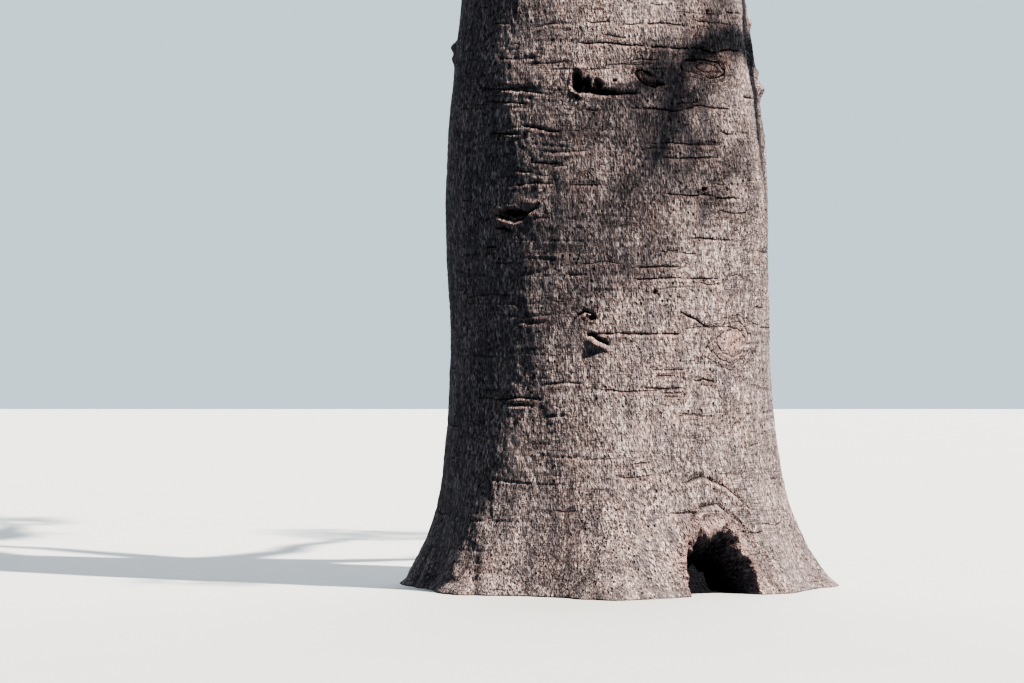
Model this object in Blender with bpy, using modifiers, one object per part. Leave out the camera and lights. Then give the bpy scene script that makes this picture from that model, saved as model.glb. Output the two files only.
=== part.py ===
"""A baobab tree in the dry season, with no leaves: a stout trunk, its boughs and the twigs at their ends.

Metres, +Z up. The origin is the middle of the flat cut under the trunk, on level ground.
The side that faces -Y is the front. Compass angles are in degrees from +X towards +Y.
"""

import math
import random

import bmesh
import bpy
import numpy as np
from mathutils import Vector

# Driving dimensions.
CROWN_HALF_SPREAD = 6.3
CROWN_MIDDLE = 5.5
CROWN_RISE = 6.7
TRUNK_LEAN = -0.015
FIT_GAP = 0.0003
CUT_GAP = 0.0005

# The trunk from the ground to the crotch: height above the ground, and half width.
TRUNK_PROFILE = (
    (0.00, 1.13),
    (0.12, 1.08),
    (0.40, 1.01),
    (0.80, 0.967),
    (1.30, 0.955),
    (1.85, 0.961),
    (2.35, 0.961),
    (2.90, 0.922),
    (3.50, 0.850),
    (4.10, 0.788),
    (4.60, 0.735),
    (5.00, 0.610),
    (5.25, 0.400),
    (5.36, 0.000),
)
TRUNK_SIDES = 48

# The root flare: ridges that run out to the ground.
ROOT_COUNT = 8
ROOT_REACH = 0.20
ROOT_HEIGHT = 0.42
ROOT_SPREAD = 15.0

# A rib runs down the right of the trunk, under the bough on that side.
RIB_ANGLE = -12.0
RIB_FOOT = 0.95
RIB_HEAD = 4.45
RIB_HALF_WIDTH = 0.085

# Knots stand on the bark: compass angle, height, half width, half height and how far proud.
KNOTS = (
    (183.0, 3.20, 0.10, 0.08, 0.045),
    (-8.0, 2.96, 0.08, 0.07, 0.085),
    (-46.0, 3.09, 0.20, 0.10, 0.030),
    (62.0, 2.55, 0.16, 0.11, 0.050),
    (128.0, 1.70, 0.14, 0.10, 0.045),
)

# Wounds are sunk into the bark: compass angle, height, half width, half height and depth.
WOUNDS = (
    (-53.0, 0.17, 0.15, 0.21, 0.130),
    (-95.0, 3.01, 0.12, 0.065, 0.050),
    (-121.0, 2.24, 0.10, 0.050, 0.040),
)

# Each main bough: compass angle, height of its root on the trunk's axis, rise, half width.
BOUGHS = {
    "bough_1": (-6.0, 4.02, 31.0, 0.345),
    "bough_2": (57.0, 4.62, 51.0, 0.300),
    "bough_3": (121.0, 3.98, 29.0, 0.350),
    "bough_4": (178.0, 4.60, 48.0, 0.310),
    "bough_5": (237.0, 4.12, 33.0, 0.340),
    "bough_6": (298.0, 4.58, 53.0, 0.295),
    "leader": (240.0, 4.50, 84.0, 0.360),
}
BOUGH_TIP = 0.075
COLLAR = 1.5
JOINT_REACH = 1.24

# Where the limbs of a bough end on the crown: share along the bough where the limb forks
# off (none for the bough itself), turn from the bough's compass angle, and rise.
LOW_LIMBS = {
    "end": (None, 0.0, 3.0),
    "left": (0.43, 33.0, 14.0),
    "right": (0.57, -31.0, 10.0),
    "upper": (0.30, 6.0, 44.0),
}
HIGH_LIMBS = {
    "end": (None, 0.0, 24.0),
    "left": (0.38, 32.0, 42.0),
    "right": (0.54, -30.0, 44.0),
}
LEADER_LIMBS = {
    "end": (None, 0.0, 86.0),
    "left": (0.34, 170.0, 64.0),
    "right": (0.50, -60.0, 66.0),
    "upper": (0.66, 55.0, 67.0),
}
LIMB_BASE_SHARE = 0.66
LIMB_TIP = 0.056
TIP_SHARE = 0.66
CROOKEDNESS = 0.025

# A mass of twigs at the end of each limb.
MASS_SHARE = 0.84
MASS_HALF_DEPTH = 1.05
MASS_HALF_WIDTH = 1.28
MASS_CLEARANCE = 0.05
LIMB_CLEARANCE = 0.03
STEM_LENGTH = 1.35
UPWARD_PULL = 0.35
# Each order of twig: how many spring from the last, bends, length, half width at root and tip.
TWIG_ORDERS = (
    (5, 1, 0.98, 0.028, 0.012),
    (2, 0, 0.56, 0.015, 0.007),
)
GOLDEN_ANGLE = 137.5
FLAT_ANGLE = math.radians(0.5)

TRUNK_COLOUR = (0.30, 0.23, 0.21, 1.0)
BOUGH_COLOUR = (0.33, 0.26, 0.24, 1.0)
TWIG_COLOUR = (0.24, 0.18, 0.16, 1.0)


def clear_scene():
    for obj in list(bpy.data.objects):
        bpy.data.objects.remove(obj)


def new_collection(name):
    collection = bpy.data.collections.new(name)
    bpy.context.scene.collection.children.link(collection)
    return collection


def bark_material(name, colour, roughness):
    material = bpy.data.materials.new(name)
    material.use_nodes = True
    shader = material.node_tree.nodes["Principled BSDF"]
    shader.inputs["Base Color"].default_value = colour
    shader.inputs["Roughness"].default_value = roughness
    shader.inputs["Metallic"].default_value = 0.0
    return material


# Shapes shared by the limbs.


def compass(angle, rise=0.0):
    """The unit vector at a compass angle and a rise above the level, both in degrees."""
    turn, lift = math.radians(angle), math.radians(rise)
    level = math.cos(lift)
    return Vector((math.cos(turn) * level, math.sin(turn) * level, math.sin(lift)))


def smooth_profile(points, steps):
    """A Catmull-Rom curve through (height, half width) points, with steps between each two."""
    ends = [points[0], *points, points[-1]]
    made = []
    for a, b, c, d in zip(ends, ends[1:], ends[2:], ends[3:]):
        for step in range(steps):
            t = step / steps
            made.append(
                tuple(
                    0.5
                    * (
                        2 * q
                        + (r - p) * t
                        + (2 * p - 5 * q + 4 * r - s) * t * t
                        + (3 * q - p - 3 * r + s) * t**3
                    )
                    for p, q, r, s in zip(a, b, c, d)
                )
            )
    return [*made, points[-1]]


def curve_between(start, leave, end, arrive, count):
    """count points on a smooth curve that leaves start and reaches end in the given directions."""
    reach = (end - start).length
    first, second = start + leave * reach * 0.38, end - arrive * reach * 0.27
    made = []
    for i in range(count):
        t = i / (count - 1)
        made.append(
            start * (1 - t) ** 3
            + first * (3 * t * (1 - t) ** 2)
            + second * (3 * t * t * (1 - t))
            + end * t**3
        )
    return made


def made_crooked(points, amount, chance):
    """The same points with slow bends between the two ends, which stay straight."""
    length = sum((b - a).length for a, b in zip(points, points[1:]))
    bends = []
    for waves in (0.7, 1.3, 2.0):
        side = Vector([chance.uniform(-1, 1) for _ in range(3)]) / waves
        bends.append((side, waves * math.tau, chance.uniform(0, math.tau)))
    pushed = []
    for i, point in enumerate(points):
        share = min(max((i - 2) / (len(points) - 4), 0.0), 1.0)
        free = amount * length * math.sin(math.pi * share)
        sway = sum((side * math.sin(turns * share + phase) for side, turns, phase in bends), Vector())
        pushed.append(point + sway * free)
    return pushed


def tapering(base, tip, count, fullness=1.25):
    return [tip + (base - tip) * (1 - i / (count - 1)) ** fullness for i in range(count)]


def tube(name, points, half_widths, resolution, collection, profile=None):
    """A round tapering tube with closed ends, as a mesh object placed at its first point."""
    curve = bpy.data.curves.new(name, "CURVE")
    curve.dimensions = "3D"
    curve.use_fill_caps = True
    if profile:
        curve.bevel_mode = "OBJECT"
        curve.bevel_object = profile
    else:
        curve.bevel_depth = 1.0
        curve.bevel_resolution = resolution
    spline = curve.splines.new("POLY")
    spline.points.add(len(points) - 1)
    for knot, point, half_width in zip(spline.points, points, half_widths):
        knot.co = (*(point - points[0]), 1.0)
        knot.radius = half_width
    drawn = bpy.data.objects.new(name + "_curve", curve)
    bpy.context.scene.collection.objects.link(drawn)
    graph = bpy.context.evaluated_depsgraph_get()
    mesh = bpy.data.meshes.new_from_object(drawn.evaluated_get(graph))
    bpy.data.objects.remove(drawn)
    shape = bmesh.new()
    shape.from_mesh(mesh)
    bmesh.ops.remove_doubles(shape, verts=shape.verts, dist=1e-6)
    bmesh.ops.recalc_face_normals(shape, faces=shape.faces)
    bmesh.ops.triangulate(shape, faces=shape.faces, quad_method="FIXED")
    shape.to_mesh(mesh)
    shape.free()
    mesh.name = name
    obj = bpy.data.objects.new(name, mesh)
    obj.location = points[0]
    collection.objects.link(obj)
    return obj


def finish(obj, material, parent):
    """Gives a finished part its bark, smooth shading and its place under the tree."""
    obj.data.materials.clear()
    obj.data.materials.append(material)
    obj.data.shade_smooth()
    obj.parent = parent


def apply_modifiers(obj):
    """Replaces the object's mesh by what its modifiers make of it, with its flat faces whole."""
    graph = bpy.context.evaluated_depsgraph_get()
    mesh = bpy.data.meshes.new_from_object(obj.evaluated_get(graph))
    obj.modifiers.clear()
    shape = bmesh.new()
    shape.from_mesh(mesh)
    bmesh.ops.dissolve_limit(
        shape, angle_limit=FLAT_ANGLE, verts=shape.verts, edges=shape.edges
    )
    shape.to_mesh(mesh)
    shape.free()
    obj.data = mesh


def boolean(obj, operation, collection):
    modifier = obj.modifiers.new(operation.lower(), "BOOLEAN")
    modifier.operation = operation
    modifier.operand_type = "COLLECTION"
    modifier.collection = collection
    modifier.solver = "MANIFOLD"


def remove_collection(collection):
    for obj in list(collection.objects):
        bpy.data.objects.remove(obj)
    bpy.data.collections.remove(collection)


# The trunk.


def trunk_axis(height):
    return Vector((TRUNK_LEAN * height, 0.0, height))


def trunk_half_width(height):
    heights, widths = zip(*smooth_profile(TRUNK_PROFILE, 4))
    return float(np.interp(height, heights, widths))


def root_ridges():
    """(compass angle, reach) of each ridge of the root flare."""
    chance = random.Random("root flare")
    step = 360.0 / ROOT_COUNT
    return [
        (i * step + chance.uniform(-9, 9), ROOT_REACH * chance.uniform(0.6, 1.35))
        for i in range(ROOT_COUNT)
    ]


def flare(angle, height, ridges):
    """How far the root flare and the slow waves of the bark stand out at a place on the trunk."""
    out = 0.012 * math.cos(math.radians(3 * angle + 40)) + 0.008 * math.cos(
        math.radians(5 * angle - 25 + 30 * height)
    )
    for ridge, reach in ridges:
        away = (angle - ridge + 180) % 360 - 180
        out += reach * math.exp(-((away / ROOT_SPREAD) ** 2)) * math.exp(-height / ROOT_HEIGHT)
    return out


def turned_trunk(collection):
    """The trunk turned from its profile, then pushed out to its roots and leaned."""
    mesh = bpy.data.meshes.new("trunk")
    outline = smooth_profile(TRUNK_PROFILE, 1)
    points = [(width, 0.0, height) for height, width in reversed(outline)]
    points.append((0.0, 0.0, 0.0))
    mesh.from_pydata(points, [(i, i + 1) for i in range(len(points) - 1)], [])
    trunk = bpy.data.objects.new("trunk", mesh)
    collection.objects.link(trunk)
    screw = trunk.modifiers.new("turned", "SCREW")
    screw.steps = screw.render_steps = TRUNK_SIDES
    screw.use_merge_vertices = True
    screw.merge_threshold = 0.0001
    apply_modifiers(trunk)
    ridges = root_ridges()
    for vertex in trunk.data.vertices:
        x, y, z = vertex.co
        half_width = math.hypot(x, y)
        if half_width > 1e-6:
            stretch = 1 + flare(math.degrees(math.atan2(y, x)), z, ridges) / half_width * min(
                1.0, half_width / 0.6
            )
            vertex.co = trunk_axis(z) + Vector((x * stretch, y * stretch, 0.0))
        else:
            vertex.co = trunk_axis(z)
    return trunk


def on_bark(angle, height, proud=0.0):
    """A point at a compass angle and height on the trunk's bark."""
    away = trunk_half_width(height) + flare(angle, height, root_ridges()) + proud
    return trunk_axis(height) + compass(angle) * away


def oval(name, angle, height, half_width, half_height, half_depth, proud, collection):
    """An egg-shaped solid on the bark, which becomes a knot or cuts a wound."""
    bpy.ops.mesh.primitive_uv_sphere_add(segments=12, ring_count=7, radius=1.0)
    egg = bpy.context.object
    egg.name = name
    egg.location = on_bark(angle, height, proud)
    egg.rotation_euler = (0.0, 0.0, math.radians(angle))
    egg.scale = (half_depth, half_width, half_height)
    for owner in list(egg.users_collection):
        owner.objects.unlink(egg)
    collection.objects.link(egg)
    return egg


def rib(collection):
    """The rib that runs down the bark under the right-hand bough."""
    count = 9
    heights = [RIB_HEAD + (RIB_FOOT - RIB_HEAD) * i / (count - 1) for i in range(count)]
    points = [on_bark(RIB_ANGLE, height, -0.035) for height in heights]
    widths = tapering(RIB_HALF_WIDTH, 0.35 * RIB_HALF_WIDTH, count, 0.8)
    return tube("rib", points, widths, 1, collection)


def build_trunk(boughs, collection):
    trunk = turned_trunk(collection)
    grown = new_collection("joined to the trunk")
    for name, bough in boughs.items():
        root, joint = bough["points"][0], bough["points"][1]
        tube(name + "_stub", [root, joint], bough["half_widths"][:2], 4, grown)
    rib(grown)
    for i, (angle, height, half_width, half_height, proud) in enumerate(KNOTS):
        oval(f"knot_{i}", angle, height, half_width, half_height, 2 * proud, -proud, grown)
    boolean(trunk, "UNION", grown)
    apply_modifiers(trunk)
    remove_collection(grown)
    cut = new_collection("cut from the trunk")
    for i, (angle, height, half_width, half_height, depth) in enumerate(WOUNDS):
        oval(f"wound_{i}", angle, height, half_width, half_height, 2 * depth, depth, cut)
    boolean(trunk, "DIFFERENCE", cut)
    apply_modifiers(trunk)
    remove_collection(cut)
    return trunk


# The boughs and the limbs that fork off them.


def crown_point(angle, rise, share):
    """A point at a share of the way from the middle of the crown to its outline."""
    direction = compass(angle, rise)
    reach = Vector((CROWN_HALF_SPREAD, CROWN_HALF_SPREAD, CROWN_RISE)) * share
    middle = Vector((0.0, 0.0, CROWN_MIDDLE))
    return middle + Vector([a * b for a, b in zip(direction, reach)])


def limb_plan():
    """Every limb of the crown: its bough, where it forks off, and where on the crown it ends."""
    plan = {}
    for name, (angle, _, rise, _) in BOUGHS.items():
        if name == "leader":
            limbs = LEADER_LIMBS
        else:
            limbs = LOW_LIMBS if rise < 40 else HIGH_LIMBS
        for kind, (fork, turn, lift) in limbs.items():
            chance = random.Random(f"{name} {kind}")
            plan[name if kind == "end" else f"{name}_{kind}"] = {
                "bough": name,
                "fork": fork,
                "angle": angle + turn + chance.uniform(-5, 5),
                "rise": lift + chance.uniform(-3, 3),
            }
    return plan


def along(points, half_widths, share):
    """The point, direction and half width at a share of the way along a limb."""
    place = share * (len(points) - 1)
    i = min(int(place), len(points) - 2)
    t = place - i
    direction = (points[i + 1] - points[i]).normalized()
    half_width = half_widths[i] * (1 - t) + half_widths[i + 1] * t
    return points[i].lerp(points[i + 1], t), direction, half_width


def grow_limbs():
    """The points and half widths of every limb, main boughs first."""
    limbs = {}
    for name, spot in sorted(limb_plan().items(), key=lambda item: item[1]["fork"] is not None):
        chance = random.Random("shape of " + name)
        end = crown_point(spot["angle"], spot["rise"], TIP_SHARE * chance.uniform(0.95, 1.05))
        arrive = compass(spot["angle"], spot["rise"]) + Vector((0, 0, 0.45))
        if spot["fork"] is None:
            angle, height, rise, base = BOUGHS[name]
            root, leave = trunk_axis(height), compass(angle, rise)
            joint = root + leave * JOINT_REACH
            start = joint + leave * 0.12
            points = [root, joint, *curve_between(start, leave, end, arrive.normalized(), 10)]
            half_widths = [base * COLLAR, *tapering(base, BOUGH_TIP, len(points) - 1)]
        else:
            bough = limbs[spot["bough"]]
            start, direction, base = along(bough["points"], bough["half_widths"], spot["fork"])
            ahead = (end - start).normalized()
            leave = (ahead + direction * 0.7).normalized()
            points = curve_between(start, leave, end, (arrive + ahead).normalized(), 8)
            half_widths = tapering(base * LIMB_BASE_SHARE, LIMB_TIP, len(points))
        points = made_crooked(points, CROOKEDNESS, chance)
        limbs[name] = {"points": points, "half_widths": half_widths, **spot}
    return limbs


def build_limbs(limbs, collection, clearances):
    """Each bough starts face to face with its stub, and each limb on the side of its bough."""
    made = {}
    for name, limb in limbs.items():
        points, half_widths = limb["points"][1:], limb["half_widths"][1:]
        if limb["fork"] is None:
            points[0] = points[0] + (points[1] - points[0]).normalized() * FIT_GAP
            made[name] = tube(name, points, half_widths, 4, collection)
            wider = [half_width + CUT_GAP for half_width in half_widths]
            cutter = tube(name + "_clearance", points, wider, 4, clearances)
            cutter.hide_render = True
            cutter.display_type = "WIRE"
    for name, limb in limbs.items():
        if limb["fork"] is not None:
            made[name] = tube(name, limb["points"], limb["half_widths"], 2, collection)
            cut = made[name].modifiers.new("clear of its bough", "BOOLEAN")
            cut.operation = "DIFFERENCE"
            cut.object = clearances.objects[limb["bough"] + "_clearance"]
    return made


# The twigs.


def limb_samples(limbs):
    """Points along every limb, close together, with the half width at each."""
    places, widths = [], []
    for limb in limbs.values():
        for i in range(81):
            point, _, half_width = along(limb["points"], limb["half_widths"], i / 80)
            places.append(point)
            widths.append(half_width)
    return np.array(places), np.array(widths)


def crown_masses(limbs):
    """The middle and the outward direction of each mass of twigs."""
    masses = {}
    for name, limb in limbs.items():
        points = limb["points"]
        outward = compass(limb["angle"], limb["rise"])
        reach = (MASS_SHARE - TIP_SHARE) * CROWN_HALF_SPREAD
        masses["twigs_" + name] = {
            "middle": points[-1] + outward * reach,
            "outward": outward,
            "start": points[-1],
            "heading": (points[-1] - points[-2]).normalized(),
            "half_width": limb["half_widths"][-1],
        }
    return masses


def in_its_space(points, mass, others):
    """Whether the points lie in the mass's own egg-shaped part of the crown."""
    for point in points:
        away = point - mass["middle"]
        deep = away.dot(mass["outward"])
        wide = (away - mass["outward"] * deep).length
        if (deep / MASS_HALF_DEPTH) ** 2 + (wide / MASS_HALF_WIDTH) ** 2 > 1:
            return False
        if point.z > CROWN_MIDDLE + CROWN_RISE:
            return False
        for other in others:
            between = other - mass["middle"]
            halfway = (mass["middle"] + other) / 2
            if (point - halfway).dot(between.normalized()) > -MASS_CLEARANCE:
                return False
    return True


def touches_limb(points, half_width, samples):
    places, widths = samples
    for point in points:
        near = np.linalg.norm(places - np.array(point), axis=1)
        if (near < widths + half_width + LIMB_CLEARANCE).any():
            return True
    return False


def twig_points(root, heading, length, chance, count):
    """A short crooked run of points that turns a little towards the sky."""
    points = [root]
    for _ in range(count - 1):
        sway = Vector([chance.uniform(-0.16, 0.16) for _ in range(3)])
        heading = (heading + sway + Vector((0, 0, UPWARD_PULL / count))).normalized()
        points.append(points[-1] + heading * (length / (count - 1)))
    return points


def side_heading(heading, turn, spread):
    """The direction that leaves heading at an angle, turned round it, both in degrees."""
    across = heading.cross(Vector((0, 0, 1)))
    across = (across if across.length > 0.1 else Vector((1, 0, 0))).normalized()
    over = heading.cross(across)
    side = across * math.cos(math.radians(turn)) + over * math.sin(math.radians(turn))
    return (heading * math.cos(math.radians(spread)) + side * math.sin(math.radians(spread))).normalized()


def grow_twigs(name, mass, others, samples):
    """The twigs of one mass, each as points and half widths: the stem first, then each order."""
    chance = random.Random(name)
    start = mass["start"] + mass["heading"] * FIT_GAP
    stem = [start, start + mass["heading"] * 0.12]
    heading = (mass["heading"] + mass["outward"] * 0.6).normalized()
    stem += twig_points(stem[-1], heading, STEM_LENGTH, chance, 4)[1:]
    grown = [(stem, tapering(mass["half_width"] * 0.96, 0.014, len(stem), 0.9))]
    last = [(name, *grown[0])]
    for count, bends, length, base, tip in TWIG_ORDERS:
        following = []
        for parent, points, half_widths in last:
            for i in range(count):
                twig = f"{parent} {i}"
                chance = random.Random(twig)
                share = 0.2 + 0.78 * (i + chance.uniform(0.1, 0.9)) / count
                root, heading, room = along(points, half_widths, share)
                aim = side_heading(
                    heading, i * GOLDEN_ANGLE + chance.uniform(-30, 30), chance.uniform(36, 62)
                )
                reach = length * chance.uniform(0.75, 1.15) * (1.1 - 0.35 * share)
                run = twig_points(root, aim, reach, chance, bends + 2)
                width = min(base, room * 0.85)
                if not in_its_space(run[1:], mass, others):
                    continue
                if touches_limb(run[1:], width, samples):
                    continue
                half_widths_here = tapering(width, min(tip, width * 0.7), len(run), 1.0)
                grown.append((run, half_widths_here))
                following.append((twig, run, half_widths_here))
        last = following
    return grown


def triangle_profile():
    """The three-sided section of a twig."""
    curve = bpy.data.curves.new("twig section", "CURVE")
    curve.dimensions = "2D"
    spline = curve.splines.new("POLY")
    spline.points.add(2)
    for i, knot in enumerate(spline.points):
        turn = math.radians(120 * i)
        knot.co = (math.cos(turn), math.sin(turn), 0.0, 1.0)
    spline.use_cyclic_u = True
    section = bpy.data.objects.new("twig section", curve)
    section.hide_render = True
    bpy.context.scene.collection.objects.link(section)
    return section


def build_masses(limbs, collection):
    masses = crown_masses(limbs)
    samples = limb_samples(limbs)
    section = triangle_profile()
    made = []
    for name, mass in masses.items():
        others = [other["middle"] for key, other in masses.items() if key != name]
        stem, *twigs = grow_twigs(name, mass, others, samples)
        obj = tube(name, *stem, 1, collection)
        joined = new_collection("joined to " + name)
        for i, (points, half_widths) in enumerate(twigs):
            tube(f"{name}_{i}", points, half_widths, 0, joined, section)
        boolean(obj, "UNION", joined)
        apply_modifiers(obj)
        remove_collection(joined)
        made.append(obj)
    bpy.data.objects.remove(section)
    return made


def main():
    clear_scene()
    tree = new_collection("baobab tree")
    clearances = new_collection("clearances")
    whole = bpy.data.objects.new("baobab", None)
    tree.objects.link(whole)
    trunk_bark = bark_material("trunk bark", TRUNK_COLOUR, 0.85)
    bough_bark = bark_material("bough bark", BOUGH_COLOUR, 0.85)
    twig_bark = bark_material("twig bark", TWIG_COLOUR, 0.80)
    limbs = grow_limbs()
    boughs = {name: limb for name, limb in limbs.items() if limb["fork"] is None}
    finish(build_trunk(boughs, tree), trunk_bark, whole)
    for obj in build_limbs(limbs, tree, clearances).values():
        finish(obj, bough_bark, whole)
    for obj in build_masses(limbs, tree):
        finish(obj, twig_bark, whole)


main()
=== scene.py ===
# %% [markdown]
# # A baobab tree in the dry season
#
# A real baobab is one thick, soft-wooded column that holds water, with a skin of thin grey bark that
# wrinkles as the column swells and shrinks through the year. Out of its top grow a few stout boughs that
# taper fast, and at their ends stand short blunt twigs, bare for most of the year.
#
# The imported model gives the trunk, the boughs and one mass of twigs at the end of each limb as plain
# solids. This lesson dresses them: bark with real relief over the wood, and thousands of fine twigs that
# grow on by the same rule as the solids do. All sizes are in metres and all angles in degrees.

# %% Load the frame
import itertools
import math
import random
from contextlib import contextmanager

import bmesh
import bpy
import numpy as np
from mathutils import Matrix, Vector


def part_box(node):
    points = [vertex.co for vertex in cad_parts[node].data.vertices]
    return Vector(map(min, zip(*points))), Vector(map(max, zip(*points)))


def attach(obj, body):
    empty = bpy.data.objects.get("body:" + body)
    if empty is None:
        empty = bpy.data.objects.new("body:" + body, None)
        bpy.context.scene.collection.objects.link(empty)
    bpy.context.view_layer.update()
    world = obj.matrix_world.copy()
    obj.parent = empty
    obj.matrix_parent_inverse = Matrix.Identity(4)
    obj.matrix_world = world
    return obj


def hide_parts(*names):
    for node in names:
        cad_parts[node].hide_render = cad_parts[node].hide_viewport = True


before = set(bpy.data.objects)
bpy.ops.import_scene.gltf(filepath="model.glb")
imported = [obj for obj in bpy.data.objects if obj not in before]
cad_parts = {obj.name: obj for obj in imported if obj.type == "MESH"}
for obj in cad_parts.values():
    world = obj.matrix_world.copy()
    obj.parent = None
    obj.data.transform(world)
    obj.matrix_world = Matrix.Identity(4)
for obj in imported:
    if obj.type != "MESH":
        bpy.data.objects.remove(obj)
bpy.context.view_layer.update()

# %% [markdown]
# ## The camera and the light
#
# The photograph was taken at eye height with a long lens, level, and it is cut off above the middle of the
# trunk. A long lens far away keeps the sides of the trunk parallel, as they are there. One sun from the
# upper right leaves the left side dark and draws every wrinkle of the bark with a thin shadow. A large lamp
# with no hard edge would do the same more softly, but bark needs the raking light. A weak broad lamp stands
# behind the tree, so that its back can be seen as well.

# %% Camera and lamps
CAMERA_AT = (-0.588, -23.04, 1.461)
LENS_MM = 135.0
FARTHEST_SEEN = 400.0
LAMPS = {
    "sun": (58.0, 44.0, 18.0, 1.1, (1.0, 0.955, 0.90)),
    "soft_lamp_behind": (172.0, 32.0, 5.0, 60.0, (0.88, 0.94, 1.0)),
}
SOFT_LIGHT = (0.62, 0.80, 1.0, 1.0)
SOFT_STRENGTH = 0.50
BACKDROP = (0.60, 0.72, 0.78, 1.0)
CONTRAST = "AgX - High Contrast"


def new_object(name, data):
    made = bpy.data.objects.new(name, data)
    bpy.context.scene.collection.objects.link(made)
    return made


def add_camera():
    data = bpy.data.cameras.new("camera")
    data.lens = LENS_MM
    data.clip_end = FARTHEST_SEEN
    camera = new_object("camera", data)
    camera.location = CAMERA_AT
    camera.rotation_euler = (math.radians(90), 0.0, 0.0)
    bpy.context.scene.camera = camera


def add_lamp(name, turn, height, strength, softness, colour):
    """A far lamp, turned to the right of the camera and raised."""
    data = bpy.data.lights.new(name, "SUN")
    data.energy = strength
    data.angle = math.radians(softness)
    data.color = colour
    new_object(name, data).rotation_euler = (math.radians(90 - height), 0.0, math.radians(turn))


def add_soft_light():
    """A weak pale light from all round, with a plain pale backdrop that only the camera sees."""
    world = bpy.data.worlds.new("pale studio")
    world.use_nodes = True
    nodes, links = world.node_tree.nodes, world.node_tree.links
    light, backdrop = nodes["Background"], nodes.new("ShaderNodeBackground")
    light.inputs["Color"].default_value = SOFT_LIGHT
    light.inputs["Strength"].default_value = SOFT_STRENGTH
    backdrop.inputs["Color"].default_value = BACKDROP
    seen, choose = nodes.new("ShaderNodeLightPath"), nodes.new("ShaderNodeMixShader")
    links.new(seen.outputs["Is Camera Ray"], choose.inputs["Fac"])
    links.new(light.outputs["Background"], choose.inputs[1])
    links.new(backdrop.outputs["Background"], choose.inputs[2])
    links.new(choose.outputs["Shader"], nodes["World Output"].inputs["Surface"])
    bpy.context.scene.world = world


add_camera()
for name, settings in LAMPS.items():
    add_lamp(name, *settings)
add_soft_light()
bpy.context.scene.view_settings.look = CONTRAST
print("camera at", CAMERA_AT, "lens", LENS_MM)

# %% [markdown]
# ## Shader sums as Python sums
#
# A material is a net of nodes. To write it as plain sums, one small class wraps a socket and gives it the
# usual signs, so that `1 - mask` adds a Math node.


# %% The Value class
class Value:
    """One output of a node, with the signs that add Math nodes."""

    def __init__(self, net, link):
        self.net, self.link = net, link

    def _sum(self, operation, *values):
        return self.net.node("Math", {"operation": operation}, **dict(zip("abc", values)))

    def __add__(self, other):
        return self._sum("ADD", self, other)

    def __sub__(self, other):
        return self._sum("SUBTRACT", self, other)

    def __rsub__(self, other):
        return self._sum("SUBTRACT", other, self)

    def __mul__(self, other):
        return self._sum("MULTIPLY", self, other)

    __radd__, __rmul__ = __add__, __mul__

    def size(self):
        return self._sum("ABSOLUTE", self)

    def between(self, low, high):
        """0 below low, 1 above high, and a straight rise between them."""
        return self.net.node("MapRange", {"clamp": True}, Value=self, **{"From Min": low, "From Max": high})


# %% The Net class
class Net:
    """The node tree of one material."""

    def __init__(self, name):
        self.material = bpy.data.materials.new(name)
        self.material.use_nodes = True
        self.tree = self.material.node_tree
        self.shader = self.tree.nodes["Principled BSDF"]

    def join(self, value, socket):
        if isinstance(value, Value):
            self.tree.links.new(value.link, socket)
        else:
            socket.default_value = value

    def node(self, kind, settings=None, out=0, **sockets):
        """A new node, its settings first, then its sockets: a, b and c are its first, second and third."""
        made = self.tree.nodes.new("ShaderNode" + kind)
        for name, value in (settings or {}).items():
            setattr(made, name, value)
        for name, value in sockets.items():
            self.join(value, made.inputs["abc".index(name) if name in "abc" else name])
        return Value(self, made.outputs[out])

    def mix(self, share, first, second):
        """A colour between two, by a share from 0 to 1."""
        made = self.tree.nodes.new("ShaderNodeMix")
        made.data_type = "RGBA"
        for name, value in (("Factor_Float", share), ("A_Color", first), ("B_Color", second)):
            self.join(value, next(s for s in made.inputs if s.identifier == name))
        return Value(self, next(s for s in made.outputs if s.identifier == "Result_Color"))

    def numbers(self, value):
        """The three numbers of a place or a colour."""
        parts = self.node("SeparateXYZ", a=value)
        return [Value(self, socket) for socket in parts.link.node.outputs]

    def kept(self, attribute, out="Vector"):
        """What is kept on the skin under a name."""
        return self.node("Attribute", {"attribute_name": attribute}, out)

    def stretched(self, place, across, along, shift=(0.0, 0.0, 0.0)):
        """The place times two numbers, which sets how fine a pattern is round the wood and along it."""
        return self.node(
            "VectorMath", {"operation": "MULTIPLY_ADD"}, a=place, b=(across, across, along), c=shift
        )

    def noise(self, place, scale, detail=2.0, rough=0.5):
        return self.node("TexNoise", Vector=place, Scale=scale, Detail=detail, Roughness=rough)

    def cells(self, place, along, scale, out):
        """A pattern of cells, each with its own colour, and the distance from their middles."""
        stretched = self.stretched(place, 1.0, along)
        return self.node("TexVoronoi", {"feature": "F1"}, out, Vector=stretched, Scale=scale, Randomness=1.0)


# %% [markdown]
# ## The rule that the tree grows by
#
# The solids come from a rule: each bough leaves the trunk at a named angle, limbs fork off it at named
# shares of its length, and each ends on the outline of a broad round crown. The same rule is written here
# again, so that the bark and the fine twigs lie exactly on the solids.

# %% Named sizes of the tree
CROWN_HALF_SPREAD = 6.3
CROWN_MIDDLE = 5.5
CROWN_RISE = 6.7
TRUNK_LEAN = -0.015
TRUNK_PROFILE = (
    (0.00, 1.13), (0.12, 1.08), (0.40, 1.01), (0.80, 0.967), (1.30, 0.955), (1.85, 0.961), (2.35, 0.961),
    (2.90, 0.922), (3.50, 0.850), (4.10, 0.788), (4.60, 0.735), (5.00, 0.610), (5.25, 0.400), (5.36, 0.000),
)
ROOT_COUNT = 8
ROOT_REACH = 0.20
ROOT_HEIGHT = 0.42
ROOT_SPREAD = 15.0
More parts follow.
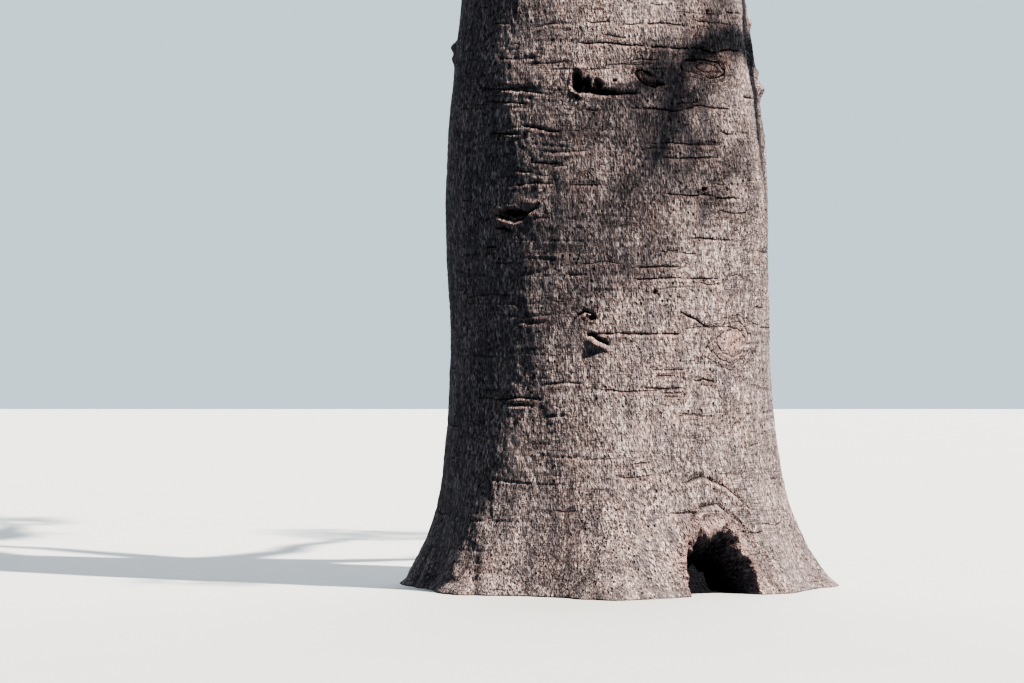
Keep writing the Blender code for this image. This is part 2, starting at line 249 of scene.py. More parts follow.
# Each bough's compass angle, its height on the trunk, its rise and its half width.
BOUGHS = {
    "bough_1": (-6.0, 4.02, 31.0, 0.345),
    "bough_2": (57.0, 4.62, 51.0, 0.300),
    "bough_3": (121.0, 3.98, 29.0, 0.350),
    "bough_4": (178.0, 4.60, 48.0, 0.310),
    "bough_5": (237.0, 4.12, 33.0, 0.340),
    "bough_6": (298.0, 4.58, 53.0, 0.295),
    "leader": (240.0, 4.50, 84.0, 0.360),
}
BOUGH_TIP = 0.075
COLLAR = 1.5
JOINT_REACH = 1.24
# Where each limb forks off its bough, as a share of its length, its turn from the bough and its rise.
LOW_LIMBS = {
    "end": (None, 0.0, 3.0), "left": (0.43, 33.0, 14.0),
    "right": (0.57, -31.0, 10.0), "upper": (0.30, 6.0, 44.0),
}
HIGH_LIMBS = {"end": (None, 0.0, 24.0), "left": (0.38, 32.0, 42.0), "right": (0.54, -30.0, 44.0)}
LEADER_LIMBS = {
    "end": (None, 0.0, 86.0), "left": (0.34, 170.0, 64.0),
    "right": (0.50, -60.0, 66.0), "upper": (0.66, 55.0, 67.0),
}
STEEP_BOUGH = 40
LIMB_BASE_SHARE = 0.66
LIMB_TIP = 0.056
TIP_SHARE = 0.66
CROOKEDNESS = 0.025
BEND_WAVES = (0.7, 1.3, 2.0)
BOUGH_POINTS, LIMB_POINTS = 10, 8
LEAVE_REACH, ARRIVE_REACH = 0.38, 0.27
STRAIGHT_START = 0.12
FORK_FOLLOW = 0.7
END_UPTURN = 0.45


# %% Directions and curves
def compass(angle, rise=0.0):
    """The unit vector at a compass angle and a rise above the level."""
    turn, lift = math.radians(angle), math.radians(rise)
    level = math.cos(lift)
    return Vector((math.cos(turn) * level, math.sin(turn) * level, math.sin(lift)))


def smooth_curve(points, steps):
    """A smooth curve through rows of numbers, with steps between each two."""
    def number_at(t, p, q, r, s):
        return 0.5 * (
            2 * q + (r - p) * t + (2 * p - 5 * q + 4 * r - s) * t * t + (3 * q - p - 3 * r + s) * t**3
        )

    ends = [points[0], *points, points[-1]]
    made = []
    for four in zip(ends, ends[1:], ends[2:], ends[3:]):
        for step in range(steps):
            made.append(tuple(number_at(step / steps, *numbers) for numbers in zip(*four)))
    return [*made, tuple(points[-1])]


def curve_between(start, leave, end, arrive, count):
    """count points on a smooth curve that leaves start and reaches end in the given directions."""
    reach = (end - start).length
    first, second = start + leave * reach * LEAVE_REACH, end - arrive * reach * ARRIVE_REACH
    made = []
    for t in (i / (count - 1) for i in range(count)):
        near_start = start * (1 - t) ** 3 + first * (3 * t * (1 - t) ** 2)
        made.append(near_start + second * (3 * t * t * (1 - t)) + end * t**3)
    return made


# %% Bends and tapers
def made_crooked(points, amount, chance):
    """The same points with slow bends between the two ends, which stay straight."""
    length = sum((b - a).length for a, b in zip(points, points[1:]))
    bends = []
    for waves in BEND_WAVES:
        side = Vector([chance.uniform(-1, 1) for _ in range(3)]) / waves
        bends.append((side, waves * math.tau, chance.uniform(0, math.tau)))
    pushed = []
    for i, point in enumerate(points):
        share = min(max((i - 2) / (len(points) - 4), 0.0), 1.0)
        free = amount * length * math.sin(math.pi * share)
        sway = sum((side * math.sin(turns * share + phase) for side, turns, phase in bends), Vector())
        pushed.append(point + sway * free)
    return pushed


def tapering(base, tip, count, fullness=1.25):
    """count half widths that shrink from base to tip."""
    return [tip + (base - tip) * (1 - i / (count - 1)) ** fullness for i in range(count)]


def along(points, half_widths, share):
    """The point, direction and half width at a share of the way along a limb."""
    place = share * (len(points) - 1)
    i = min(int(place), len(points) - 2)
    t = place - i
    direction = (points[i + 1] - points[i]).normalized()
    half_width = half_widths[i] * (1 - t) + half_widths[i + 1] * t
    return points[i].lerp(points[i + 1], t), direction, half_width


# %% Where each limb ends
def trunk_axis(height):
    return Vector((TRUNK_LEAN * height, 0.0, height))


def crown_point(angle, rise, share):
    """A point at a share of the way from the middle of the crown to its outline."""
    direction = compass(angle, rise)
    reach = Vector((CROWN_HALF_SPREAD, CROWN_HALF_SPREAD, CROWN_RISE)) * share
    return Vector((0.0, 0.0, CROWN_MIDDLE)) + Vector([a * b for a, b in zip(direction, reach)])


def limb_plan():
    """Every limb of the crown: its bough, where it forks off, and where on the crown it ends."""
    plan = {}
    for name, (angle, _, rise, _) in BOUGHS.items():
        limbs = LOW_LIMBS if rise < STEEP_BOUGH else HIGH_LIMBS
        if name == "leader":
            limbs = LEADER_LIMBS
        for kind, (fork, turn, lift) in limbs.items():
            chance = random.Random(f"{name} {kind}")
            plan[name if kind == "end" else f"{name}_{kind}"] = {
                "bough": name,
                "fork": fork,
                "angle": angle + turn + chance.uniform(-5, 5),
                "rise": lift + chance.uniform(-3, 3),
            }
    return plan


# %% Grow the limbs
def grow_limbs():
    """The points and half widths of every limb, main boughs first."""
    limbs = {}
    for name, spot in sorted(limb_plan().items(), key=lambda item: item[1]["fork"] is not None):
        chance = random.Random("shape of " + name)
        end = crown_point(spot["angle"], spot["rise"], TIP_SHARE * chance.uniform(0.95, 1.05))
        arrive = compass(spot["angle"], spot["rise"]) + Vector((0, 0, END_UPTURN))
        if spot["fork"] is None:
            angle, height, rise, base = BOUGHS[name]
            root, leave = trunk_axis(height), compass(angle, rise)
            joint = root + leave * JOINT_REACH
            start = joint + leave * STRAIGHT_START
            points = [root, joint, *curve_between(start, leave, end, arrive.normalized(), BOUGH_POINTS)]
            half_widths = [base * COLLAR, *tapering(base, BOUGH_TIP, len(points) - 1)]
        else:
            bough = limbs[spot["bough"]]
            start, direction, base = along(bough["points"], bough["half_widths"], spot["fork"])
            ahead = (end - start).normalized()
            leave = (ahead + direction * FORK_FOLLOW).normalized()
            points = curve_between(start, leave, end, (arrive + ahead).normalized(), LIMB_POINTS)
            half_widths = tapering(base * LIMB_BASE_SHARE, LIMB_TIP, len(points))
        points = made_crooked(points, CROOKEDNESS, chance)
        limbs[name] = {"points": points, "half_widths": half_widths, **spot}
    return limbs


limbs = grow_limbs()
for name in ("bough_1", "bough_1_left", "leader"):
    low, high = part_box(name)
    print(name, "solid reaches", round(high[2], 3), "rule reaches", round(limbs[name]["points"][-1].z, 3))

# %% [markdown]
# ## The trunk
#
# The trunk is a column with a slow swelling at chest height, a flare of roots at its foot and a shoulder
# where the boughs leave. By hand it would be a ring of points, extruded upwards again and again and
# widened or narrowed each time, then subdivided until the bark's wrinkles have enough points to stand on.

# %% Helpers for modelling by hand
RING_POINTS = 76
RING_STEP = 0.064
TRUNK_LEVELS = 3
CROTCH_CUT = 3.70
CROTCH_OVERLAP = 0.25
HALF_GAP = 0.01


def pick(*objects):
    """Selects these objects alone and makes the first the active one."""
    bpy.ops.object.select_all(action="DESELECT")
    for obj in objects:
        obj.select_set(True)
    bpy.context.view_layer.objects.active = objects[0]
    return objects[0]


@contextmanager
def editing(obj, parts="VERT", select="SELECT"):
    """Edit mode on one object, with all its points, edges or faces selected, or none of them."""
    pick(obj)
    bpy.ops.object.mode_set(mode="EDIT")
    bpy.ops.mesh.select_mode(type=parts)
    bpy.ops.mesh.select_all(action=select)
    yield
    bpy.ops.object.mode_set(mode="OBJECT")


def point_outwards():
    bpy.ops.mesh.select_all(action="SELECT")
    bpy.ops.mesh.normals_make_consistent(inside=False)


def apply_modifier(obj, name, kind, **settings):
    pick(obj)
    modifier = obj.modifiers.new(name, kind)
    for key, value in settings.items():
        setattr(modifier, key, value)
    bpy.ops.object.modifier_apply(modifier=modifier.name)


def read(rows, name, width=1, kind=float):
    """One property of all the points, corners or faces of a mesh, width numbers for each."""
    flat = np.empty(len(rows) * width, kind)
    rows.foreach_get(name, flat)
    return flat.reshape(-1, width) if width > 1 else flat


def places_of(obj):
    return read(obj.data.vertices, "co", 3)


def normals_of(obj):
    return read(obj.data.vertex_normals, "vector", 3)


def move_to(obj, places):
    obj.data.vertices.foreach_set("co", np.ascontiguousarray(places).ravel())
    obj.data.update()


def triangles_in(obj):
    return sum(len(face.vertices) - 2 for face in obj.data.polygons)


# %% The trunk's plain form, before its bark
PROFILE_HEIGHTS, PROFILE_WIDTHS = (np.array(row) for row in zip(*smooth_curve(TRUNK_PROFILE, 6)))


def root_ridges():
    """(compass angle, reach) of each ridge of the root flare."""
    chance = random.Random("root flare")
    step = 360.0 / ROOT_COUNT
    return [
        (i * step + chance.uniform(-9, 9), ROOT_REACH * chance.uniform(0.6, 1.35))
        for i in range(ROOT_COUNT)
    ]


def turned_by(angle, other):
    """The signed turn from one compass angle to another, the short way round."""
    return (angle - other + 180) % 360 - 180


def trunk_half_width(angle, height):
    """The plain trunk's half width, with its root flare and slow waves, at many places at once."""
    width = np.interp(height, PROFILE_HEIGHTS, PROFILE_WIDTHS)
    out = 0.012 * np.cos(np.radians(3 * angle + 40))
    out = out + 0.008 * np.cos(np.radians(5 * angle - 25 + 30 * height))
    for ridge, reach in root_ridges():
        away = turned_by(angle, ridge)
        out = out + reach * np.exp(-((away / ROOT_SPREAD) ** 2)) * np.exp(-height / ROOT_HEIGHT)
    return np.maximum(width + out * np.minimum(1.0, width / 0.6), 0.01)


def model_trunk():
    """Rings extruded upwards from the flat foot, then subdivided and set to the trunk's form."""
    bpy.ops.object.select_all(action="DESELECT")
    bpy.ops.mesh.primitive_circle_add(vertices=RING_POINTS, radius=1.0, location=(0.0, 0.0, 0.0))
    trunk = bpy.context.object
    with editing(trunk):
        for _ in range(round(PROFILE_HEIGHTS[-1] / RING_STEP)):
            bpy.ops.mesh.extrude_region_move(TRANSFORM_OT_translate={"value": (0.0, 0.0, RING_STEP)})
    apply_modifier(trunk, "fine rings", "SUBSURF", levels=TRUNK_LEVELS, render_levels=TRUNK_LEVELS)
    places = places_of(trunk)
    angle = np.degrees(np.arctan2(places[:, 1], places[:, 0]))
    height = np.clip(places[:, 2], 0.0, PROFILE_HEIGHTS[-1])
    width = trunk_half_width(angle, height)
    places[:, 0] = TRUNK_LEAN * height + np.cos(np.radians(angle)) * width
    places[:, 1] = np.sin(np.radians(angle)) * width
    places[:, 2] = height
    move_to(trunk, places)
    with editing(trunk, select="DESELECT"):
        bpy.ops.mesh.select_non_manifold()
        bpy.ops.mesh.fill_holes(sides=0)
        point_outwards()
    return trunk


trunk = model_trunk()
print("trunk rings:", len(trunk.data.vertices), "points", triangles_in(trunk), "triangles")

# %% [markdown]
# ## The boughs and the crotch
#
# Where the boughs leave the trunk the wood runs from one into the other with no seam. Cylinders pushed
# into each other would show a sharp line there. So each limb is drawn as a tapering tube with a wide
# collar, all of them are joined, and a voxel remesh makes one skin over the whole, which is then smoothed.
# Smoothing thins a tube a little, so each is drawn thicker by what it will lose.

# %% Tubes for the limbs
UPPER_VOXEL = 0.020
FORK_COLLAR = 1.45
COLLAR_LENGTH = 0.55
TUBE_ROUNDNESS = 8
SMOOTH_ROUNDS = 14
SMOOTH_LOSS = SMOOTH_ROUNDS * UPPER_VOXEL**2 / 4


def fine_limb(limb):
    """A limb's centre line and half widths with four times the points, and a collar at its fork."""
    rows = [(*point, width) for point, width in zip(limb["points"], limb["half_widths"])]
    if limb["fork"] is None:
        root, joint = np.array(rows[0]), np.array(rows[1])
        rows[:3] = [tuple(root + (joint - root) * share) for share in (0.0, 0.33, 0.67, 1.0)]
    rows = smooth_curve(rows, 4)
    points = [Vector(row[:3]) for row in rows]
    widths = [row[3] for row in rows]
    if limb["fork"] is not None:
        for i, point in enumerate(points):
            near = max(0.0, 1 - (point - points[0]).length / COLLAR_LENGTH)
            widths[i] *= 1 + (FORK_COLLAR - 1) * near**1.5
    return points, widths


def draw_tube(name, points, half_widths):
    """A round tapering tube drawn as a curve and turned into a mesh."""
    curve = bpy.data.curves.new(name, "CURVE")
    curve.dimensions = "3D"
    curve.use_fill_caps = True
    curve.bevel_depth = 1.0
    curve.bevel_resolution = TUBE_ROUNDNESS
    spline = curve.splines.new("POLY")
    spline.points.add(len(points) - 1)
    for knot, point, half_width in zip(spline.points, points, half_widths):
        knot.co = (*point, 1.0)
        knot.radius = half_width
    pick(new_object(name, curve))
    bpy.ops.object.convert(target="MESH")
    tube = bpy.context.object
    with editing(tube):
        bpy.ops.mesh.remove_doubles(threshold=0.0001)
        bpy.ops.mesh.normals_make_consistent(inside=False)
    return tube


# %% One skin over the crotch and the boughs
def cut_level(obj, height, keep_above, closed):
    """Cuts a mesh at a height and keeps one side of it."""
    with editing(obj):
        bpy.ops.mesh.bisect(
            plane_co=(0.0, 0.0, height),
            plane_no=(0.0, 0.0, 1.0),
            use_fill=closed,
            clear_inner=keep_above,
            clear_outer=not keep_above,
        )


def model_crotch_and_boughs(trunk):
    """One skin over the trunk's top and all the limbs."""
    top = new_object("crotch", trunk.data.copy())
    cut_level(top, CROTCH_CUT - CROTCH_OVERLAP, keep_above=True, closed=True)
    tubes = []
    for name, limb in limbs.items():
        points, widths = fine_limb(limb)
        tubes.append(draw_tube(name, points, [math.sqrt(width**2 + SMOOTH_LOSS) for width in widths]))
    skin = pick(top, *tubes)
    bpy.ops.object.join()
    apply_modifier(skin, "one skin", "REMESH", mode="VOXEL", voxel_size=UPPER_VOXEL)
    apply_modifier(skin, "soft crotches", "SMOOTH", factor=0.5, iterations=SMOOTH_ROUNDS)
    cut_level(skin, CROTCH_CUT + HALF_GAP, keep_above=True, closed=False)
    return skin


skin = model_crotch_and_boughs(trunk)
cut_level(trunk, CROTCH_CUT - HALF_GAP, keep_above=False, closed=False)
print("crotch and boughs:", triangles_in(skin), "triangles; trunk below:", triangles_in(trunk))


# %% Bridge the trunk to the crotch
def bridge_at(obj, height, reach):
    """Bridges the two open rings of edges that lie at a height."""
    with editing(obj, "EDGE", "DESELECT"):
        shape = bmesh.from_edit_mesh(obj.data)
        for edge in shape.edges:
            middle = (edge.verts[0].co.z + edge.verts[1].co.z) / 2
            edge.select_set(len(edge.link_faces) == 1 and abs(middle - height) < reach)
        bmesh.update_edit_mesh(obj.data)
        bpy.ops.mesh.bridge_edge_loops()
        point_outwards()


wood = pick(trunk, skin)
bpy.ops.object.join()
bridge_at(wood, CROTCH_CUT, 5 * HALF_GAP)
print("wood:", len(wood.data.vertices), "points", triangles_in(wood), "triangles")

# %% [markdown]
# ## The bark's relief
#
# The trunk's skin has folds of every size: slow lumps as broad as a hand, level wrinkles where the column
# has swelled and shrunk, thin cracks, the scars of lost boughs with a thick lip grown round them, and a
# rib that runs up the right side to a bough. Each is worked out as a height at every point of the skin,
# and the skin is moved out or in by their sum. A displacement picture would be the usual way, but heights
# worked out from named places need no picture, and each scar is where it should be.


# %% Noise in space
def lattice_noise(places, seed):
    """Smooth noise from -1 to 1: random numbers at whole-number corners, blended between them."""
    cell = np.floor(places).astype(np.int64)
    t = places - cell
    t = t * t * t * (t * (t * 6 - 15) + 10)
    total = np.zeros(len(places))
    for corner in itertools.product((0, 1), repeat=3):
        spot = cell + np.array(corner)
        mixed = spot[:, 0] * 374761393 + spot[:, 1] * 668265263 + spot[:, 2] * 1274126177
        mixed = (mixed + seed * 974634777) & 0xFFFFFFFF
        mixed = ((mixed ^ (mixed >> 13)) * 1274126177) & 0xFFFFFFFF
        value = ((mixed ^ (mixed >> 16)) & 0xFFFF) / 32767.5 - 1
        total += value * np.prod(np.where(np.array(corner), t, 1 - t), axis=1)
    return total


def folded_noise(places, across, along_it, seed, octaves=2):
    """Noise of a given fineness round the wood and along it, with finer and weaker octaves added."""
    stretch = np.array((across, across, along_it))
    return sum(
        lattice_noise(places * stretch * 2.0**octave, seed + octave) / 2**octave for octave in range(octaves)
    )


# %% Where each point of the skin is on its limb
TRUNK_SAMPLES = 60
TRUNK_SAMPLE_STEP = 0.09
LIMB_LENGTH_STEP = 10.0


def limb_rows():
    """Samples along every limb: place, direction, two sideways axes, length so far, width and owner."""
    rows, owners = [], []
    for k, (name, limb) in enumerate(limbs.items()):
        points, widths = fine_limb(limb)
        side = Vector((0.0, 0.0, 1.0)).cross(points[1] - points[0]).normalized()
        length = LIMB_LENGTH_STEP * k
        for i in range(len(points) - 1):
            step = points[i + 1] - points[i]
            direction = step.normalized()
            side = (side - direction * side.dot(direction)).normalized()
            across = direction.cross(side)
            for t in (0.0, 0.5):
                width = widths[i] * (1 - t) + widths[i + 1] * t
                place = points[i] + step * t
                rows.append((*place, *direction, *side, *across, length + step.length * t, width))
                owners.append(name)
            length += step.length
    for i in range(TRUNK_SAMPLES):
        height = i * TRUNK_SAMPLE_STEP
        width = float(np.interp(height, PROFILE_HEIGHTS, PROFILE_WIDTHS))
        rows.append((*trunk_axis(height), 0, 0, 1, 1, 0, 0, 0, 1, 0, height, width))
        owners.append("trunk")
    return np.array(rows), owners


# %% The nearest wood and its grain
SAMPLES, OWNERS = limb_rows()
OWNER_NAMES = sorted(set(OWNERS))
OWNER_INDEX = np.array([OWNER_NAMES.index(owner) for owner in OWNERS])
BATCH = 4000
NO_OTHER_WOOD = 9.0


def nearest_sample(places):
    """For each place, the sample whose wood it lies closest to, and how much further off other wood is."""
    best = np.zeros(len(places), int)
    margin = np.zeros(len(places))
    centres = SAMPLES[:, :3].astype(np.float32)
    squares = (centres**2).sum(axis=1)
    widths = SAMPLES[:, 13].astype(np.float32)
    for start in range(0, len(places), BATCH):
        part = places[start : start + BATCH].astype(np.float32)
        away = (part**2).sum(axis=1)[:, None] + squares - 2 * part @ centres.T
        away = np.sqrt(np.maximum(away, 0)) - widths
        first = np.argmin(away, axis=1)
        least = away[np.arange(len(part)), first]
        away[OWNER_INDEX[first][:, None] == OWNER_INDEX] = NO_OTHER_WOOD
        best[start : start + BATCH] = first
        margin[start : start + BATCH] = away.min(axis=1) - least
    return best, margin


def trunk_grain(places):
    return np.stack([places[:, 0] - TRUNK_LEAN * places[:, 2], places[:, 1], places[:, 2]], axis=1)


def grain_of(places, nearest):
    """Each place in the wood's own directions: two across the limb and one along it."""
    rows = SAMPLES[nearest]
    away = places - rows[:, :3]
    side, across, ahead = (np.einsum("ij,ij->i", away, rows[:, k : k + 3]) for k in (6, 9, 3))
    return np.stack([side, across, rows[:, 12] + ahead], axis=1)


SEAM_FADE = 0.10
TRUNK = OWNER_NAMES.index("trunk")
places = places_of(wood)
upper = places[:, 2] > CROTCH_CUT - 0.4
nearest = np.zeros(len(places), int)
margin = np.full(len(places), NO_OTHER_WOOD)
nearest[upper], margin[upper] = nearest_sample(places[upper])
owner = np.full(len(places), TRUNK)
owner[upper] = OWNER_INDEX[nearest[upper]]
on_trunk = owner == TRUNK
from_seam = np.clip(margin / SEAM_FADE, 0.0, 1.0)
grain = trunk_grain(places)
grain[~on_trunk] = grain_of(places[~on_trunk], nearest[~on_trunk])
print("points on limbs:", int((~on_trunk).sum()), "on the trunk:", int(on_trunk.sum()))

# %% Lumps and level wrinkles over all the wood
half_width = np.where(on_trunk, 0.9, SAMPLES[nearest, 13])
thick = np.clip(half_width / 0.5, 0.12, 1.0)
lumps = folded_noise(grain, 2.1, 1.3, 11, 3) * 0.010 * thick
knurls = folded_noise(grain, 7.0, 6.0, 21) * 0.0035 * thick
warts = folded_noise(grain, 48.0, 21.0, 25) * 0.0021 * thick


def level_creases(across, along_it, seed, width, cover):
    """Narrow grooves that run round the wood, where a stretched noise passes through nothing."""
    field = folded_noise(grain, across, along_it, seed)
    line = np.clip(1 - np.abs(field) / width, 0.0, 1.0)
    patch = np.clip(folded_noise(grain, 1.7, 2.6, seed + 5) * 2.2 + cover, 0.0, 1.0)
    return line * patch


fine_creases = level_creases(1.3, 15.0, 31, 0.16, 0.25)
broad_creases = level_creases(0.8, 5.5, 41, 0.11, -0.1)
bough_creases = level_creases(1.6, 9.0, 45, 0.13, 0.30) * ~on_trunk
bough_swells = folded_noise(grain, 3.2, 6.5, 47) * ~on_trunk
relief = lumps + knurls + warts + bough_swells * 0.020 * thick
relief = relief - (fine_creases * 0.0030 + broad_creases * 0.006 + bough_creases * 0.014) * thick
relief = relief * from_seam
print("relief so far, mm:", round(relief.min() * 1000, 1), "to", round(relief.max() * 1000, 1))

# %% [markdown]
# ## Scars, cracks and the rib
#
# Each mark has a compass angle and a height on the trunk. A crack is a groove along a line that wavers. A
# wound is a hollow with a raised lip, and the old scar of a fallen twig is a ring of groove round a low
# cushion. Beside its height each mark paints colour: painted shade in a hollow and in a crack's groove,
# paler and pinker where the bark has healed over, and a painted highlight on the ledge under a crack. A
# crack is finer than the skin's own points, so each point also keeps how far it lies from the nearest
# crack, and the finish draws a sharp line of painted shade where that distance is nothing.

# %% Tools for marks
FAR_FROM_LINES = 0.05
angle = np.degrees(np.arctan2(places[:, 1], places[:, 0] - TRUNK_LEAN * places[:, 2]))
height = places[:, 2]
arc_unit = np.radians(1.0) * np.interp(height, PROFILE_HEIGHTS, PROFILE_WIDTHS)
waver = folded_noise(grain, 9.0, 3.0, 51)
waver_fine = folded_noise(grain, 40.0, 12.0, 61)
fibres = folded_noise(grain, 46.0, 6.0, 65)
# dark holds painted shade: the darkening in hollows, crack grooves, dimples, the dips of the foot's folds
# and the rib's fold, where shade falls.
# healed holds the paler, pinker colour of healed bark, and a painted highlight along the ledge under each
# crack.
dark, healed, marks, line_strength = (np.zeros(len(places)) for _ in range(4))
line_offset = np.full(len(places), FAR_FROM_LINES)
lower_skin = np.flatnonzero((height < CROTCH_CUT + 0.3) & on_trunk)
lower_angle, lower_height = angle[lower_skin], height[lower_skin]


def bell(offset, width):
    """1 at an offset of nothing, and a smooth fall to 0 past the width."""
    return np.exp(-((offset / width) ** 2))


def soft_edge(past):
    """1 well inside an edge and 0 well past it."""
    return 1 / (1 + np.exp(np.minimum(past, 50.0)))


def patch_round(at_angle, half_turn, low, high):
    """The points of the lower trunk near a place, and how far round from it each is."""
    turn = turned_by(lower_angle, at_angle)
    near = (np.abs(turn) < half_turn) & (lower_height > low) & (lower_height < high)
    index = lower_skin[near]
    return index, turn[near] * arc_unit[index]


def note_line(index, offset, strength):
    """Keeps a line for the points that it is nearest to."""
    closer = (np.abs(offset) < np.abs(line_offset[index])) & (strength > 0.02)
    line_offset[index[closer]] = offset[closer]
    line_strength[index[closer]] = strength[closer]


# Raises a colour layer at some points; on the dark layer this paints shade.
def paint_layer(layer, index, amount):
    layer[index] = np.maximum(layer[index], np.clip(amount, 0.0, 1.0))


# %% A crack
def crack(route, depth, width=0.008, lip=0.3, strength=1.0):
    """A wavering groove along a route of places, each a compass angle and a height."""
    turns, levels = (np.array(row) for row in zip(*route))
    middle = (turns[0] + turns[-1]) / 2
    half_turn = abs(turns[-1] - turns[0]) / 2
    index, round_by = patch_round(middle, half_turn + 1.0, levels.min() - 0.12, levels.max() + 0.12)
    turn = round_by / arc_unit[index]
    line = np.interp(turn, turns - middle, levels)
    line = line + waver[index] * 0.005 + waver_fine[index] * 0.0022
    offset = height[index] - line
    to_end = (half_turn - np.abs(turn)) * arc_unit[index]
    taper = np.clip(to_end / 0.05, 0.0, 1.0) ** 0.6
    groove = bell(offset, width) * taper
    ledge = bell(offset + 2.1 * width, 1.5 * width) * taper
    marks[index] += depth * (lip * ledge - groove)
    # Painted shade in the crack's groove.
    paint_layer(dark, index, (groove - 0.45) * min(1.0, depth * 60))
    # Painted highlight: the ledge under the crack is painted a little paler and pinker.
    paint_layer(healed, index, ledge * 0.22)
    note_line(index, offset, taper * strength)


# %% Oval marks
def oval_share(at, half_wide, half_high, tilt=0.0, ragged=0.12):
    """The points near an oval place: 0 at its middle, 1 on its edge."""
    reach = max(half_wide, half_high) * 2.6
    index, round_by = patch_round(at[0], math.degrees(reach / 0.85), at[1] - reach, at[1] + reach)
    up_by = height[index] - at[1] + round_by * math.tan(math.radians(tilt))
    wobble = 1 + ragged * (waver[index] + 0.5 * waver_fine[index])
    return index, np.hypot(round_by / half_wide, up_by / half_high) * wobble


def cushion(at, half_wide, half_high, rise, tilt=0.0, pale=0.0):
    """A low swelling of the bark."""
    index, share = oval_share(at, half_wide, half_high, tilt)
    swelling = np.exp(-(share**2) * 1.4)
    marks[index] += rise * swelling
    paint_layer(healed, index, swelling * pale)


def hollow(at, half_wide, half_high, depth, lip=0.25, tilt=0.0, torn=0.0, ragged=0.12):
    """A hole with steep sides, a lip grown round it, torn fibres, and painted shade inside it."""
    index, share = oval_share(at, half_wide, half_high, tilt, ragged)
    inside = soft_edge((share - 0.92) * 11)
    rim = bell(share - 1.28, 0.24)
    threads = np.clip(fibres[index] * 1.6, 0.0, 1.0) * torn
    marks[index] += depth * (lip * rim - inside * (1 - threads))
    # Painted shade inside the hole, lighter where the torn fibres stand out.
    paint_layer(dark, index, inside * (1 - 0.8 * threads))
    paint_layer(healed, index, rim * 0.6)


def ring_scar(at, half_wide, half_high, depth, rise, rings, tilt=0.0):
    """The healed scar of a lost twig: grooves in ovals round a low cushion."""
    index, share = oval_share(at, half_wide, half_high, tilt)
    size = math.sqrt(half_wide * half_high)
    marks[index] += rise * np.exp(-(share**2) * 1.1)
    paint_layer(healed, index, np.exp(-(share**2) * 0.8) * 0.7)
    for place, strength in rings:
        offset = (share - place) * size
        marks[index] -= depth * strength * bell(offset, 0.009)
        marks[index] += 0.5 * depth * strength * bell(offset - 0.016, 0.010)
        note_line(index, offset, np.full(len(index), strength))


# %% The long cracks
# Each is a depth, the strength of its line, and a route of compass angles and heights.
LONG_CRACKS = (
    (0.009, 1.0, ((-101, 3.187), (-92, 3.183), (-77, 3.170), (-69, 3.164), (-52, 3.166), (-47.5, 3.154),
                  (-43, 3.146), (-39, 3.161), (-35, 3.174), (-27, 3.175))),
    (0.007, 0.8, ((-84, 3.288), (-70, 3.300), (-55, 3.300))),
    (0.008, 0.7, ((-98, 3.305), (-92, 3.301), (-86, 3.309))),
    (0.006, 0.9, ((-82, 2.806), (-65, 2.799), (-60, 2.806), (-56, 2.827), (-50, 2.826), (-38, 2.818))),
    (0.005, 0.8, ((-75, 2.600), (-66, 2.612), (-57, 2.604), (-44, 2.607))),
    (0.005, 0.8, ((-70, 2.520), (-56, 2.528), (-45, 2.532))),
    (0.008, 1.0, ((-70, 2.312), (-60, 2.306), (-52.5, 2.317), (-47, 2.300), (-36, 2.298))),
    (0.006, 0.9, ((-60, 2.060), (-40, 2.052))),
    (0.005, 0.6, ((-72, 1.975), (-57, 1.968))),
    (0.008, 0.9, ((-83, 1.885), (-70, 1.892), (-60, 1.886))),
    (0.007, 1.0, ((-82, 1.820), (-62, 1.826), (-47, 1.823))),
    (0.009, 1.0, ((-99, 1.503), (-82, 1.508), (-64, 1.503))),
    (0.010, 1.0, ((-79, 1.192), (-63, 1.193))),
    (0.007, 0.8, ((-73, 1.166), (-64, 1.165))),
    (0.006, 0.7, ((-72, 1.144), (-64.5, 1.142))),
    (0.012, 1.0, ((-60, 1.236), (-55, 1.240), (-49, 1.222))),
    (0.014, 1.0, ((-65, 1.630), (-58, 1.590), (-54, 1.548), (-50, 1.530))),
    (0.006, 0.7, ((-143, 2.951), (-128, 2.925), (-112, 2.897))),
    (0.004, 0.6, ((-139, 2.865), (-118, 2.838))),
    (0.008, 0.9, ((-122, 2.715), (-114, 2.690), (-106, 2.668))),
    (0.008, 0.9, ((-136, 2.671), (-122, 2.660))),
    (0.007, 0.8, ((-118, 2.495), (-106, 2.489))),
    (0.007, 0.7, ((-126, 2.455), (-117, 2.440))),
    (0.012, 1.0, ((-137, 2.012), (-131, 2.003))),
    (0.014, 1.0, ((-29, 2.905), (-18, 2.902))),
    (0.008, 0.9, ((-34, 3.395), (-22, 3.398))),
)
for depth, strength, route in LONG_CRACKS:
    crack(route, depth, strength=strength)


def scattered_cracks(count):
    """Short level cracks that break up the rest of the trunk's skin."""
    chance = random.Random("cracks all round")
    for _ in range(count):
        at = chance.uniform(-180, 180)
        level = chance.uniform(0.35, CROTCH_CUT)
        reach = 3 + 22 * chance.random() ** 2
        drop = chance.uniform(-0.02, 0.02)
        depth = chance.uniform(0.002, 0.006)
        route = ((at, level), (at + reach / 2, level + drop), (at + reach, level + drop / 2))
        crack(route, depth, strength=chance.uniform(0.25, 0.8))


scattered_cracks(260)
print("cracks, mm:", round(marks.min() * 1000, 1))

# %% [markdown]
# ## The gouge, the scars and the knots
#
# The photograph shows one torn gouge near the top, with a long lip that sags to the right like a smile,
# an eye-shaped knot beside it, a long oval scar, a sagging fold far to the left, and small knobs on both
# sides of the outline. The back isn't seen, so it gets a few like them.

